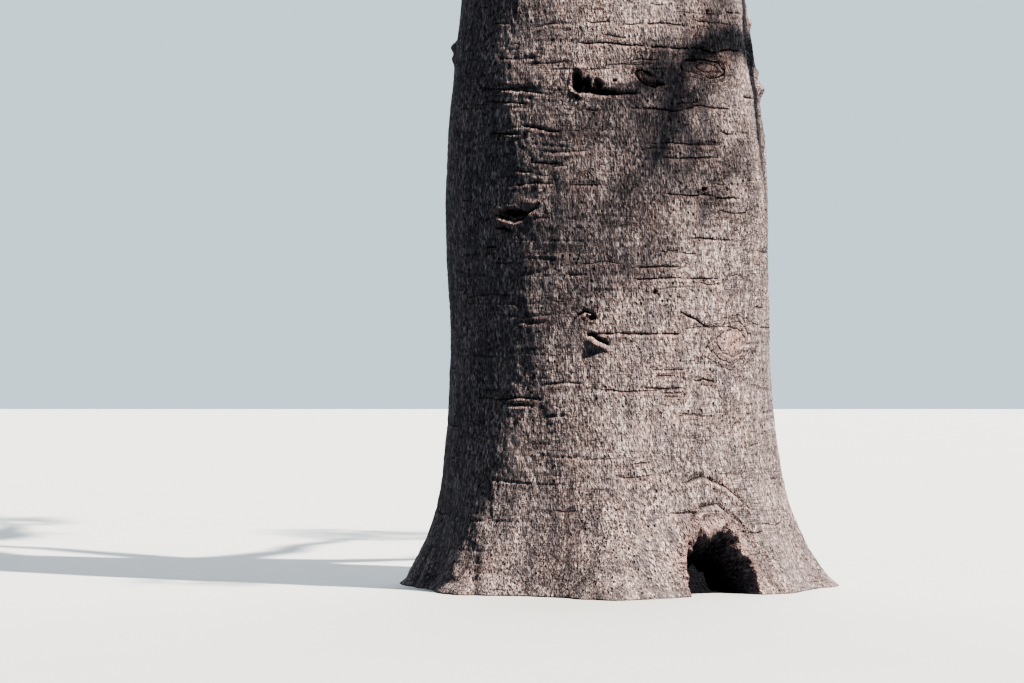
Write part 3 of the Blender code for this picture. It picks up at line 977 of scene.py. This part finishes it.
# %% The gouge and its lip
hollow((-100.8, 2.952), 0.034, 0.058, 0.060, 0.14, 0.0, 0.2, 0.40)
hollow((-96.4, 2.945), 0.060, 0.036, 0.026, 0.00, 6.0, 1.5, 0.45)
hollow((-93.4, 2.942), 0.030, 0.034, 0.050, 0.10, 0.0, 0.4, 0.45)
hollow((-92.5, 2.905), 0.110, 0.014, 0.036, 0.10, 6.0, 0.3, 0.30)
GOUGE_LINE = ((-103.5, 2.935), (-99.5, 2.905), (-91, 2.884), (-87, 2.884), (-82, 2.893), (-77.5, 2.892))
crack(GOUGE_LINE, 0.026, 0.012)
cushion((-86.5, 2.938), 0.110, 0.034, 0.022)
cushion((-99.0, 3.036), 0.036, 0.018, 0.020, 0.0, 1.0)
hollow((-87.0, 2.962), 0.016, 0.010, 0.018)
hollow((-100.8, 2.872), 0.014, 0.012, 0.014)

# %% The eye knot and the long oval scar
ring_scar((-74.4, 2.977), 0.068, 0.040, 0.015, 0.010, ((1.0, 1.0), (0.55, 0.5)), 20.0)
crack(((-76.6, 3.024), (-74.0, 3.008), (-71.8, 2.990)), 0.018, 0.008)
hollow((-69.4, 2.950), 0.026, 0.014, 0.024, 0.15)
ring_scar((-49.0, 3.052), 0.155, 0.050, 0.009, 0.010, ((1.0, 1.0), (0.55, 0.7), (1.5, 0.35)), 4.0)
crack(((-57.5, 3.104), (-50.0, 3.098), (-42.0, 3.092), (-39.0, 3.070)), 0.008, 0.008)
cushion((-38.0, 3.100), 0.060, 0.030, 0.010, 0.0, 0.9)

# %% The folds on the left and the small scars below
FOLD_LINE = ((-133, 2.200), (-127, 2.174), (-124, 2.159), (-121, 2.170), (-118.5, 2.204), (-115, 2.243))
hollow((-124.5, 2.205), 0.110, 0.026, 0.040, 0.15, 0.0, 0.7, 0.5)
crack(FOLD_LINE, 0.020, 0.012, 0.9)
crack(((-133, 2.121), (-128.8, 2.114), (-125, 2.096)), 0.020, 0.012, 0.8)
cushion((-117.0, 2.262), 0.070, 0.018, 0.014, 0.0, 0.5)
crack(((-104, 1.566), (-101.4, 1.612), (-98.6, 1.636), (-95.9, 1.619), (-94.3, 1.583)), 0.020, 0.011, 0.4)
hollow((-96.4, 1.598), 0.026, 0.016, 0.030, 0.15)
crack(((-98.4, 1.494), (-96.7, 1.496), (-93.6, 1.468), (-90.3, 1.440)), 0.030, 0.014, 0.6)
cushion((-95.0, 1.442), 0.042, 0.012, 0.016, 20.0, 1.0)
hollow((-53.4, 2.345), 0.020, 0.012, 0.020, 0.8)
hollow((-74.0, 1.745), 0.012, 0.018, 0.016)
hollow((-45.0, 3.385), 0.014, 0.020, 0.018)
ring_scar((-41.0, 1.455), 0.130, 0.075, 0.007, 0.012, ((1.0, 0.6), (1.5, 0.5), (2.0, 0.3)))

# %% Knobs on the outline, and scars round the back
cushion((183.0, 3.220), 0.080, 0.042, 0.036)
cushion((184.0, 3.150), 0.090, 0.036, 0.022)
cushion((-4.0, 2.965), 0.060, 0.045, 0.034)
cushion((-4.0, 3.070), 0.045, 0.030, 0.018)
cushion((-4.0, 3.370), 0.035, 0.040, 0.018)
BACK_SCARS = ((62.0, 2.55), (128.0, 1.70), (20.0, 1.30), (98.0, 3.05), (150.0, 2.75), (38.0, 3.10))
for at in BACK_SCARS:
    ring_scar(at, 0.13, 0.08, 0.014, 0.030, ((1.0, 1.0), (1.45, 0.6), (0.5, 0.5)))
hollow((84.0, 2.10), 0.070, 0.045, 0.060, 0.3, 0.0, 0.8, 0.3)
hollow((140.0, 3.05), 0.050, 0.030, 0.040, 0.3, 8.0, 0.6, 0.3)
print("marks, mm:", round(marks.min() * 1000, 1), "to", round(marks.max() * 1000, 1))

# %% The rib
RIB_ROUTE_HEIGHTS = (0.0, 1.7, 2.5, 2.72, 2.93, 3.04, 3.13, 3.31, 3.49, 4.2)
RIB_ROUTE_ANGLES = (-12.5, -12.5, -12.5, -12.5, -12.5, -14.5, -16.0, -14.5, -10.5, -9.0)
FOLD_HALF_WIDTH = 0.074
FOLD_DEPTH = 0.010
FOLD_SOFTNESS = 0.010
RIB_STEP_OUT = 0.140
RIB_HALF_WIDTH = 0.048
RIB_HEIGHT = 0.010


def rib():
    """A broad upright fold down the right side, with painted shade inside it, and the rounded rib behind it.
    """
    fold_at = np.interp(height, RIB_ROUTE_HEIGHTS, RIB_ROUTE_ANGLES)
    off = turned_by(angle, fold_at) * arc_unit + waver * 0.010 + waver_fine * 0.004
    grows = np.clip((height - 1.9) / 0.8, 0.0, 1.0) * on_trunk
    grows = grows * np.clip((CROTCH_CUT + 0.5 - height) / 0.6, 0.0, 1.0)
    faint = np.clip((height - 0.9) / 0.6, 0.0, 1.0) * on_trunk * 0.3
    fold = soft_edge((np.abs(off) - FOLD_HALF_WIDTH) / FOLD_SOFTNESS)
    ridge = bell(off - RIB_STEP_OUT, RIB_HALF_WIDTH) * (1 + 0.9 * waver)
    marks[:] += np.maximum(grows, faint) * (RIB_HEIGHT * ridge - FOLD_DEPTH * fold)
    # Painted shade: the fold is coloured nearly black along its length.
    paint_layer(dark, slice(None), grows * fold * np.clip(0.98 + 0.15 * waver_fine, 0.8, 1.0))


rib()

# %% The foot
HOLLOW_AT = (-57.0, 0.06)
HOLLOW_HALF_WIDE, HOLLOW_HALF_HIGH, HOLLOW_DEPTH, ARCH_RISE = 0.175, 0.270, 0.230, 0.055
ARCH_FOLDS = (
    (((-66, 0.400), (-60, 0.500), (-52, 0.520), (-44, 0.400), (-36, 0.180)), 0.022, 0.018, 1.0, 0.4),
    (((-66, 0.640), (-58, 0.680), (-48, 0.620), (-38, 0.480)), 0.016, 0.014, 0.8, 0.4),
)


def foot():
    """The arched root with a hollow under it, and the folds that the flare has thrown up round it, with
    painted shade in the hollow and in the dips of the folds.
    """
    index, share = oval_share(HOLLOW_AT, HOLLOW_HALF_WIDE, HOLLOW_HALF_HIGH, 0.0, 0.16)
    inside = soft_edge((share - 0.95) * 9)
    arch = bell(share - 1.30, 0.22) * np.clip(height[index] / 0.12, 0, 1)
    marks[index] += ARCH_RISE * arch - HOLLOW_DEPTH * inside
    # Painted shade inside the hollow under the arch.
    paint_layer(dark, index, inside * 1.1 - 0.1)
    paint_layer(healed, index, arch * 0.5)
    for fold in ARCH_FOLDS:
        crack(*fold)
    near_foot = np.exp(-height / 0.35) * on_trunk
    folds = np.abs(folded_noise(grain, 4.5, 1.1, 71))
    marks[:] += near_foot * (0.034 * folds - 0.014)
    # Painted shade in the dips between the folds at the foot.
    paint_layer(dark, slice(None), near_foot * np.clip(0.5 - folds * 3.2, 0, 0.5))


foot()

# %% Knots on the limbs
KNOTS_ON_A_LIMB = 3
THINNEST_WITH_KNOTS = 0.09


def limb_knots():
    """Round swellings with a dimple of painted shade where each thick limb has dropped a smaller one."""
    chance = random.Random("knots on the limbs")
    away_from_trunk = np.flatnonzero(~on_trunk)
    skin = places[away_from_trunk]
    for limb in limbs.values():
        points, widths = fine_limb(limb)
        for _ in range(KNOTS_ON_A_LIMB):
            at = chance.randint(len(points) // 3, len(points) - 2)
            out = Vector([chance.uniform(-1, 1) for _ in range(3)]).cross(points[at + 1] - points[at])
            width = widths[at]
            if width < THINNEST_WITH_KNOTS:
                continue
            gap = np.linalg.norm(skin - np.array(points[at] + out.normalized() * width), axis=1) / width
            near = gap < 1.6
            index, gap = away_from_trunk[near], gap[near]
            swelling, dimple = bell(gap, 0.52), bell(gap, 0.20)
            marks[index] += width * (0.17 * swelling - 0.20 * dimple) * from_seam[index]
            # Painted shade in the dimple.
            paint_layer(dark, index, dimple * 1.2 - 0.3)
            paint_layer(healed, index, swelling * 0.35)


limb_knots()
relief = relief + marks
print("relief, mm:", round(relief.min() * 1000, 1), "to", round(relief.max() * 1000, 1))


# %% Move the skin and keep its grain, its painted shade and its healed colour
def keep_layer(name, rows, domain="POINT"):
    layer = wood.data.attributes.new(name, "FLOAT_VECTOR", domain)
    layer.data.foreach_set("vector", np.ascontiguousarray(rows).ravel())


def first_corners():
    """The point at each face corner, the face of each corner, and the first point of each face."""
    mesh = wood.data
    corners = read(mesh.loops, "vertex_index", kind=np.int32)
    starts = read(mesh.polygons, "loop_start", kind=np.int32)
    totals = read(mesh.polygons, "loop_total", kind=np.int32)
    return corners, np.repeat(np.arange(len(starts)), totals), corners[starts]


def corner_grain():
    """The grain at every face corner, so that each face keeps to the grain of one limb."""
    corners, face, first = first_corners()
    rows = grain[corners]
    lead = first[face]
    mixed = np.flatnonzero(owner[corners] != owner[lead])
    at, lead = places[corners[mixed]], lead[mixed]
    rows[mixed] = np.where(on_trunk[lead][:, None], trunk_grain(at), grain_of(at, nearest[lead]))
    return rows


outward = normals_of(wood)
outward[:, 2] *= np.clip(height / 0.5, 0.0, 1.0)
outward /= np.linalg.norm(outward, axis=1)[:, None]
moved = places + outward * relief[:, None]
moved[:, 2] = np.where(places[:, 2] < 0.004, 0.0, np.maximum(moved[:, 2], 0.002))
move_to(wood, moved)
# Painted shade in the level creases: the finish darkens the colour where they run.
valley = np.clip(fine_creases + broad_creases + 2.0 * bough_creases, 0, 2)
keep_layer("grain", corner_grain(), "CORNER")
keep_layer("painted_shade_and_healing", np.stack([dark, healed, valley], axis=1))
keep_layer("lines", np.stack([line_offset, line_strength, thick], axis=1))
keep_layer("skin_normal", normals_of(wood))

# %% [markdown]
# ## Cutting the skin into pieces
#
# Each piece stands for its own nodes: four rings of the trunk, and each main bough with its limbs. The
# skin is separated by faces, and every open edge is drawn in to a point inside the wood, so each piece is
# closed. Every point keeps the normal that it had on the whole skin, so that no seam shows.

# %% Separate the pieces
RING_TOPS = {"foot": 1.22, "waist": 2.44, "shoulder": CROTCH_CUT - 0.02, "crotch": 9.0}


def face_groups():
    """The name of the piece that each face belongs to: a bough's stub is part of the trunk."""
    _, _, first = first_corners()
    part_of = [limbs[name]["bough"] if name in limbs else "trunk" for name in OWNER_NAMES]
    is_bough = np.array([name in BOUGHS for name in OWNER_NAMES])
    names = np.array(part_of, dtype="U24")[owner[first]]
    from_root = (grain[:, 2] + 1) % LIMB_LENGTH_STEP - 1
    stub = is_bough[owner] & (from_root < JOINT_REACH)
    names[stub[first]] = "trunk"
    bottom = 0.0
    for ring, top in RING_TOPS.items():
        names[(names == "trunk") & (height[first] < top) & (height[first] >= bottom)] = "trunk_" + ring
        bottom = top
    return names


def separate_pieces(obj):
    """Separates the faces of each piece in turn. The last piece is what is left."""
    names = face_groups()
    order = sorted(set(names))
    group = obj.data.attributes.new("group", "INT", "FACE")
    group.data.foreach_set("value", np.searchsorted(order, names).astype(np.int32))
    pieces = {}
    for index, name in enumerate(order[:-1]):
        flags = read(obj.data.attributes["group"].data, "value", kind=np.int32)
        with editing(obj, "FACE", "DESELECT"):
            bpy.ops.object.mode_set(mode="OBJECT")
            obj.data.polygons.foreach_set("select", flags == index)
            bpy.ops.object.mode_set(mode="EDIT")
            bpy.ops.mesh.separate(type="SELECTED")
        pieces[name] = next(other for other in bpy.context.selected_objects if other != obj)
    pieces[order[-1]] = obj
    return pieces


# %% Close each piece
def close_and_smooth(piece):
    """Draws each open edge in to a point and gives the skin the whole wood's normals."""
    with editing(piece, "EDGE", "DESELECT"):
        bpy.ops.mesh.select_non_manifold()
        bpy.ops.mesh.extrude_edges_indiv()
        bpy.ops.mesh.merge(type="COLLAPSE")
    piece.data.shade_smooth()
    normals = read(piece.data.attributes["skin_normal"].data, "vector", 3)
    piece.data.normals_split_custom_set_from_vertices(normals)
    for name in ("skin_normal", "group"):
        piece.data.attributes.remove(piece.data.attributes[name])


bark_pieces = separate_pieces(wood)
for name, piece in sorted(bark_pieces.items()):
    piece.name = "bark_" + name
    piece.data.name = "bark_" + name
    close_and_smooth(piece)
    print(piece.name, triangles_in(piece), "triangles")

# %% [markdown]
# ## The bark's finish
#
# Baobab bark is matt and dusty: a pinkish grey with an upright grain of small rough scales, painted
# shade in the dips between them and a painted highlight on their tops, pale flakes that are partly painted
# glints, small black pits, pinker skin where it has healed, and thin level cracks with painted shade in
# them. The pattern reads the grain of the wood and not the plain place in the room, so it turns with each
# bough.

# %% The bark's patterns and colours
# How fine each pattern is round the wood and along it, its shift, its detail and its roughness.
BARK_PATTERNS = {
    "patches": (5.0, 3.0, (3.1, 7.7, 1.9), 3.0, 0.65),
    "runs": (13.0, 2.2, (1.7, 2.2, 0.4), 3.0, 0.6),
    "calm": (6.0, 3.4, (9.0, 0.5, 3.3), 3.0, 0.6),
    "streaks": (30.0, 6.0, (0.0, 0.0, 0.0), 3.0, 0.55),
    "scales": (108.0, 37.0, (0.0, 0.0, 0.0), 2.5, 0.60),
    "hatch": (150.0, 19.0, (6.0, 2.0, 1.0), 1.5, 0.5),
    "bands": (2.2, 34.0, (0.0, 0.0, 0.0), 3.0, 0.62),
    "wobble": (55.0, 20.0, (4.0, 1.0, 7.0), 2.0, 0.5),
    "gaps": (16.0, 16.0, (8.0, 3.0, 2.0), 1.0, 0.5),
    "hairs": (2.4, 30.0, (0.7, 4.4, 8.2), 2.5, 0.55),
    "hair_cover": (3.0, 4.0, (5.0, 5.0, 5.0), 2.0, 0.5),
    "pit_cover": (4.0, 4.0, (2.0, 9.0, 4.0), 2.0, 0.5),
}
# Some of these colours are painted light: painted shade in the dips, creases, hollows and cracks, a painted
# highlight on the scales' tops and painted glints among the pale flakes.
BARK_COLOURS = {
    "dark skin": (0.172, 0.128, 0.117),
    "pale skin": (0.260, 0.198, 0.182),
    "pink skin": (0.300, 0.182, 0.150),
    "dusty bands": (0.345, 0.276, 0.255),
    "painted highlight on scales": (0.430, 0.335, 0.307),
    "painted shade between scales": (0.052, 0.042, 0.040),
    "hatching": (0.066, 0.052, 0.049),
    "pale flakes and glints": (0.560, 0.450, 0.415),
    "dark flakes": (0.040, 0.033, 0.033),
    "streaks": (0.090, 0.072, 0.070),
    "water runs": (0.080, 0.070, 0.074),
    "healed bark": (0.360, 0.205, 0.165),
    "crease shade": (0.062, 0.050, 0.050),
    "pits": (0.012, 0.011, 0.012),
    "hair cracks": (0.026, 0.022, 0.022),
    "painted shade": (0.007, 0.007, 0.009),
    "cracks": (0.012, 0.010, 0.011),
    "dark twig": (0.110, 0.085, 0.079),
    "pale twig": (0.168, 0.134, 0.125),
    "twig spots": (0.048, 0.039, 0.037),
}
BUMP_REACH = 0.050
BARK_SHINE = 0.08


# %% Bark material
def painted(net, base, layers):
    """A colour with layers over it: each a name in BARK_COLOURS and how much of it shows."""
    for name, share in layers.items():
        base = net.mix(share, base, (*BARK_COLOURS[name], 1))
    return base


def bark_material(name, for_twigs=False):
    """The bark's finish. On twigs it shows where they are thick, and thin ones are smoother and darker."""
    net = Net(name)
    place = net.kept("grain")
    painted_shade, healed_and_lit_ledges, crease_shade = net.numbers(net.kept("painted_shade_and_healing"))
    offset, strength, _ = net.numbers(net.kept("lines"))
    clouds = net.noise(place, 1.7, 4.0, 0.6)
    patches, runs, calm, streaks, scales, hatch, bands, wobble, gaps, hairs, hair_cover, pit_cover = (
        net.noise(net.stretched(place, across, along_it, shift), 1.0, detail, rough)
        for across, along_it, shift, detail, rough in BARK_PATTERNS.values()
    )
    calm = calm.between(0.40, 0.62)

    line = 1 - (offset + (wobble - 0.5) * 0.010).size().between(0.0018, 0.0062)
    line = line * strength * gaps.between(0.30, 0.46)
    hair_line = (1 - (hairs - 0.5).size().between(0.0, 0.014)) * hair_cover.between(0.44, 0.60) * 0.7
    pit_field = net.cells(place, 0.75, 30.0, "Distance")
    pits = (1 - pit_field.between(0.12, 0.25)) * pit_cover.between(0.38, 0.60)
    flake = net.numbers(net.cells(place, 0.42, 96.0, "Color"))[0]

    base = painted(net, (*BARK_COLOURS["dark skin"], 1), {
        "pale skin": clouds.between(0.35, 0.68),
        "pink skin": patches.between(0.48, 0.70) * 0.60,
        "dusty bands": bands.between(0.52, 0.70) * 0.50,
        # Painted highlight on the raised scales, and painted shade in the dips between them.
        "painted highlight on scales": scales.between(0.48, 0.60) * (0.75 - calm * 0.35),
        "painted shade between scales": (1 - scales.between(0.41, 0.52)) * (0.80 - calm * 0.35),
        "hatching": hatch.between(0.50, 0.66) * 0.52,
        # Pale flakes: paler cells of bark, partly painted glints where scales catch the light.
        "pale flakes and glints": flake.between(0.80, 0.88) * 0.60,
        "dark flakes": (1 - flake.between(0.10, 0.18)) * 0.60,
        "streaks": streaks.between(0.46, 0.68) * 0.40,
        "water runs": runs.between(0.47, 0.62) * 0.52,
        # Healed bark, and a painted highlight on the ledges under cracks.
        "healed bark": healed_and_lit_ledges * 0.55,
        # Painted shade in the creases.
        "crease shade": crease_shade * 0.30,
        "pits": pits * 0.92,
        "hair cracks": hair_line,
        # Painted shade in hollows, crack grooves, dimples and the rib's fold, and the sharp line of painted
        # shade in each crack.
        "painted shade": painted_shade,
        "cracks": line * 0.96,
    })
    heights = scales * (0.95 - calm * 0.30) + flake * 0.16 + streaks * 0.35 + hatch * -0.22
    heights = heights + bands * 0.22 + pits * -0.35 + hair_line * -0.25 + line * -0.45
    if for_twigs:
        rough_share = net.kept("rough_share", "Fac")
        spots = net.noise(place, 60.0, 2.0, 0.6)
        thin = painted(net, (*BARK_COLOURS["dark twig"], 1), {
            "pale twig": clouds.between(0.35, 0.65),
            "twig spots": spots.between(0.50, 0.70) * 0.5,
        })
        base = net.mix(rough_share, thin, base)
        heights = heights * rough_share + spots * 0.06
    net.join(base, net.shader.inputs["Base Color"])
    bump = net.node("Bump", Height=heights, Strength=1.0, Distance=BUMP_REACH)
    net.join(bump, net.shader.inputs["Normal"])
    net.join(0.74 + hatch * 0.18, net.shader.inputs["Roughness"])
    net.join(BARK_SHINE, net.shader.inputs["Specular IOR Level"])
    return net.material


# %% Put the bark on the wood
bark = bark_material("baobab bark")
for name, piece in bark_pieces.items():
    piece.data.materials.clear()
    piece.data.materials.append(bark)
    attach(piece, "root")
    if name.startswith("trunk"):
        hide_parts("trunk")
    else:
        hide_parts(*(limb for limb, spot in limbs.items() if spot["bough"] == name))
print("bark on", len(bark_pieces), "pieces")

# %% [markdown]
# ## The twigs
#
# A bare baobab keeps its twigs: stubby, blunt and crooked, each a little thinner than the one it springs
# from. The solids hold only the first two orders of them. Here the same rule goes on to three finer
# orders, inside the same space, so that the crown is as full as a real one and no wider. One twig is a
# three-sided spike, and all the twigs of a mass are one mesh, because thousands of loose ones would be
# slow to draw.

# %% Named sizes of the twigs
MASS_SHARE = 0.84
MASS_HALF_DEPTH = 1.05
MASS_HALF_WIDTH = 1.28
MASS_CLEARANCE = 0.05
LIMB_CLEARANCE = 0.03
LIMB_STEPS = 80
STEM_LENGTH = 1.35
STEM_INSIDE, STEM_STRAIGHT, STEM_TIP = 0.08, 0.12, 0.014
UPWARD_PULL = 0.35
# The twigs on each twig of the order before, their bends, their length and their half width at both ends.
TWIG_ORDERS = ((5, 1, 0.98, 0.028, 0.012), (2, 0, 0.56, 0.015, 0.007))
FINE_ORDERS = ((7, 2, 0.42, 0.0110, 0.0060), (6, 1, 0.20, 0.0070, 0.0042), (4, 0, 0.085, 0.0048, 0.0034))
GOLDEN_ANGLE = 137.5
BOX_SLACK = 0.03


# %% The masses' spaces
def limb_samples():
    """Points along every limb, close together, with the half width at each."""
    rows, widths = [], []
    for limb in limbs.values():
        for i in range(LIMB_STEPS + 1):
            point, _, half_width = along(limb["points"], limb["half_widths"], i / LIMB_STEPS)
            rows.append(point)
            widths.append(half_width)
    return np.array(rows), np.array(widths)


def crown_masses():
    """The middle and the outward direction of each mass of twigs."""
    masses = {}
    for name, limb in limbs.items():
        points = limb["points"]
        outward = compass(limb["angle"], limb["rise"])
        reach = (MASS_SHARE - TIP_SHARE) * CROWN_HALF_SPREAD
        masses["twigs_" + name] = {
            "middle": points[-1] + outward * reach,
            "outward": outward,
            "start": points[-1],
            "heading": (points[-1] - points[-2]).normalized(),
            "half_width": limb["half_widths"][-1],
        }
    return masses


def in_its_space(points, mass, others):
    """Whether the points lie in the mass's own egg-shaped part of the crown."""
    for point in points:
        away = point - mass["middle"]
        deep = away.dot(mass["outward"])
        wide = (away - mass["outward"] * deep).length
        if (deep / MASS_HALF_DEPTH) ** 2 + (wide / MASS_HALF_WIDTH) ** 2 > 1:
            return False
        if point.z > CROWN_MIDDLE + CROWN_RISE:
            return False
        if any((point - middle).dot(towards) > -MASS_CLEARANCE for middle, towards in others):
            return False
    return True


def touches_limb(points, half_width, samples):
    places, widths = samples
    return any(
        (np.linalg.norm(places - np.array(point), axis=1) < widths + half_width + LIMB_CLEARANCE).any()
        for point in points
    )


def in_box(points, box):
    """Whether the points lie in a box, or hardly leave it."""
    low, high = box
    return all(
        low[k] - BOX_SLACK < point[k] < high[k] + BOX_SLACK for point in points for k in range(3)
    )


# %% Grow the twigs
def twig_points(root, heading, length, chance, count):
    """A short crooked run of points that turns a little upwards."""
    points = [root]
    for _ in range(count - 1):
        sway = Vector([chance.uniform(-0.16, 0.16) for _ in range(3)])
        heading = (heading + sway + Vector((0, 0, UPWARD_PULL / count))).normalized()
        points.append(points[-1] + heading * (length / (count - 1)))
    return points


def side_heading(heading, turn, spread):
    """The direction that leaves heading at an angle, turned round it."""
    across = heading.cross(Vector((0, 0, 1)))
    across = (across if across.length > 0.1 else Vector((1, 0, 0))).normalized()
    over = heading.cross(across)
    side = across * math.cos(math.radians(turn)) + over * math.sin(math.radians(turn))
    return (heading * math.cos(math.radians(spread)) + side * math.sin(math.radians(spread))).normalized()


def next_order(last, order, mass, others, samples, box=None):
    """The twigs that spring from those of the last order."""
    count, bends, length, base, tip = order
    following = []
    for parent, points, half_widths in last:
        for i in range(count):
            twig = f"{parent} {i}"
            chance = random.Random(twig)
            share = 0.2 + 0.78 * (i + chance.uniform(0.1, 0.9)) / count
            root, heading, room = along(points, half_widths, share)
            turn = i * GOLDEN_ANGLE + chance.uniform(-30, 30)
            aim = side_heading(heading, turn, chance.uniform(36, 62))
            reach = length * chance.uniform(0.75, 1.15) * (1.1 - 0.35 * share)
            run = twig_points(root, aim, reach, chance, bends + 2)
            width = min(base, room * 0.85)
            if not in_its_space(run[1:], mass, others) or touches_limb(run[1:], width, samples):
                continue
            if box is None or in_box(run[1:], box):
                following.append((twig, run, tapering(width, min(tip, width * 0.7), len(run), 1.0)))
    return following


# %% Grow one mass
def grow_mass(name, mass, masses, samples):
    """All the twigs of one mass, by order: the stem, the solids' twigs and the finer ones."""
    others = []
    for key, other in masses.items():
        between = other["middle"] - mass["middle"]
        if key != name and between.length < 2 * MASS_HALF_WIDTH + 0.1:
            others.append(((mass["middle"] + other["middle"]) / 2, between.normalized()))
    near = np.linalg.norm(samples[0] - np.array(mass["middle"]), axis=1) < MASS_HALF_WIDTH + 0.6
    samples = (samples[0][near], samples[1][near])
    start = mass["start"]
    stem = [start - mass["heading"] * STEM_INSIDE, start + mass["heading"] * STEM_STRAIGHT]
    heading = (mass["heading"] + mass["outward"] * 0.6).normalized()
    stem += twig_points(stem[-1], heading, STEM_LENGTH, random.Random(name), 4)[1:]
    orders = [[(name, stem, tapering(mass["half_width"] * 1.02, STEM_TIP, len(stem), 0.9))]]
    for order in TWIG_ORDERS:
        orders.append(next_order(orders[-1], order, mass, others, samples))
    last = [(parent + " fine", points, widths) for twigs in orders for parent, points, widths in twigs]
    for order in FINE_ORDERS:
        last = next_order(last, order, mass, others, samples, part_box(name))
        orders.append(last)
    return orders


# %% Spikes for the twigs
STEM_SIDES = 16
SIDES_BY_ORDER = (STEM_SIDES, 6, 4, 3, 3, 3)
STEM_ROOT_DRAW = 0.80
STEM_ROOT_SHARE = 0.45
SMOOTH_WIDTH = 0.012
ROUGH_WIDTH = 0.040


def twig_mesh_rows(twigs, sides):
    """The points and faces of many twigs with the same number of points, all at once."""
    lines = np.array([[tuple(point) for point in points] for _, points, _ in twigs])
    widths = np.array([half_widths for _, _, half_widths in twigs])
    count, length, _ = lines.shape
    steps = np.diff(lines, axis=1)
    tangent = np.concatenate([steps[:, :1], steps[:, :-1] + steps[:, 1:], steps[:, -1:]], axis=1)
    tangent /= np.linalg.norm(tangent, axis=2, keepdims=True)
    guide = np.where(np.abs(tangent[:, :1, 2:]) > 0.9, [[[1.0, 0.0, 0.0]]], [[[0.0, 0.0, 1.0]]])
    side = np.cross(tangent, guide)
    side /= np.linalg.norm(side, axis=2, keepdims=True)
    over = np.cross(tangent, side)
    rings = []
    for turn in (math.tau * k / sides for k in range(sides)):
        out = side * math.cos(turn) + over * math.sin(turn)
        rings.append(lines + out * widths[:, :, None])
    points = np.stack(rings, axis=2).reshape(-1, 3)
    k = np.arange(sides)
    start = (np.arange(count) * length * sides)[:, None]
    ring = start[:, :, None] + (np.arange(length - 1) * sides)[None, :, None]
    a, b = ring + k, ring + (k + 1) % sides
    quads = np.stack([a, b, b + sides, a + sides], axis=3).reshape(-1, 4)
    return points, quads, np.concatenate([start + k[::-1], start + (length - 1) * sides + k])


# %% One mesh for each mass
def shown_stem(stem):
    """The stem as it is modelled: its root is drawn in, so that it comes out of the limb's round end."""
    name, points, widths = stem
    first = points[0] + (points[1] - points[0]) * STEM_ROOT_SHARE
    return name, [points[0], first, *points[1:]], [widths[0] * STEM_ROOT_DRAW, widths[0] * 0.97, *widths[1:]]


def mass_mesh(name, orders):
    """One mesh of all the twigs of a mass: round stems first, then three-sided twigs."""
    orders = [[shown_stem(orders[0][0])], *orders[1:]]
    points, faces, wide, count = [], [], [], 0
    for twigs, sides in zip(orders, SIDES_BY_ORDER):
        if not twigs:
            continue
        some, quads, caps = twig_mesh_rows(twigs, sides)
        points.append(some)
        wide.append(np.repeat([width for _, _, widths in twigs for width in widths], sides))
        faces += (quads + count).tolist() + (caps + count).tolist()
        count += len(some)
    points, wide = np.concatenate(points), np.concatenate(wide)
    mesh = bpy.data.meshes.new(name)
    mesh.from_pydata(points.tolist(), [], faces)
    mesh.shade_smooth()
    on_stem = len(orders[0][0][1]) * STEM_SIDES
    limb_end = max(i for i, owner_name in enumerate(OWNERS) if "fine_twigs_" + owner_name == name)
    twig_grain = points.copy()
    twig_grain[:on_stem] = grain_of(points[:on_stem], np.full(on_stem, limb_end))
    layer = mesh.attributes.new("grain", "FLOAT_VECTOR", "POINT")
    layer.data.foreach_set("vector", twig_grain.ravel())
    layer = mesh.attributes.new("rough_share", "FLOAT", "POINT")
    layer.data.foreach_set("value", np.clip((wide - SMOOTH_WIDTH) / (ROUGH_WIDTH - SMOOTH_WIDTH), 0, 1))
    return new_object(name, mesh)


masses = crown_masses()
samples = limb_samples()
twig_pieces = {}
for name, mass in masses.items():
    orders = grow_mass(name, mass, masses, samples)
    twig_pieces[name] = mass_mesh("fine_" + name, orders)
twig_triangles = [triangles_in(piece) for piece in twig_pieces.values()]
print("twigs:", sum(twig_triangles), "triangles, most in one:", max(twig_triangles))

# %% Twig material
twig_bark = bark_material("twig bark", for_twigs=True)
for name, piece in twig_pieces.items():
    piece.data.materials.append(twig_bark)
    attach(piece, "root")
    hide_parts(name)

# %% [markdown]
# ## The floor
#
# The tree stands on a plain pale floor, which isn't part of it.

# %% Floor
FLOOR_HALF = 60.0
FLOOR_COLOURS = ((0.27, 0.26, 0.245, 1), (0.29, 0.28, 0.265, 1))


def add_floor():
    bpy.ops.object.select_all(action="DESELECT")
    bpy.ops.mesh.primitive_plane_add(size=2 * FLOOR_HALF, location=(0.0, 0.0, -0.001))
    floor = bpy.context.object
    floor.name = "floor"
    net = Net("pale floor")
    tone = net.noise(net.node("TexCoord", None, "Object"), 0.6, 2.0)
    net.join(net.mix(tone, *FLOOR_COLOURS), net.shader.inputs["Base Color"])
    net.join(0.9, net.shader.inputs["Roughness"])
    floor.data.materials.append(net.material)
    floor.visible_diffuse = False


add_floor()
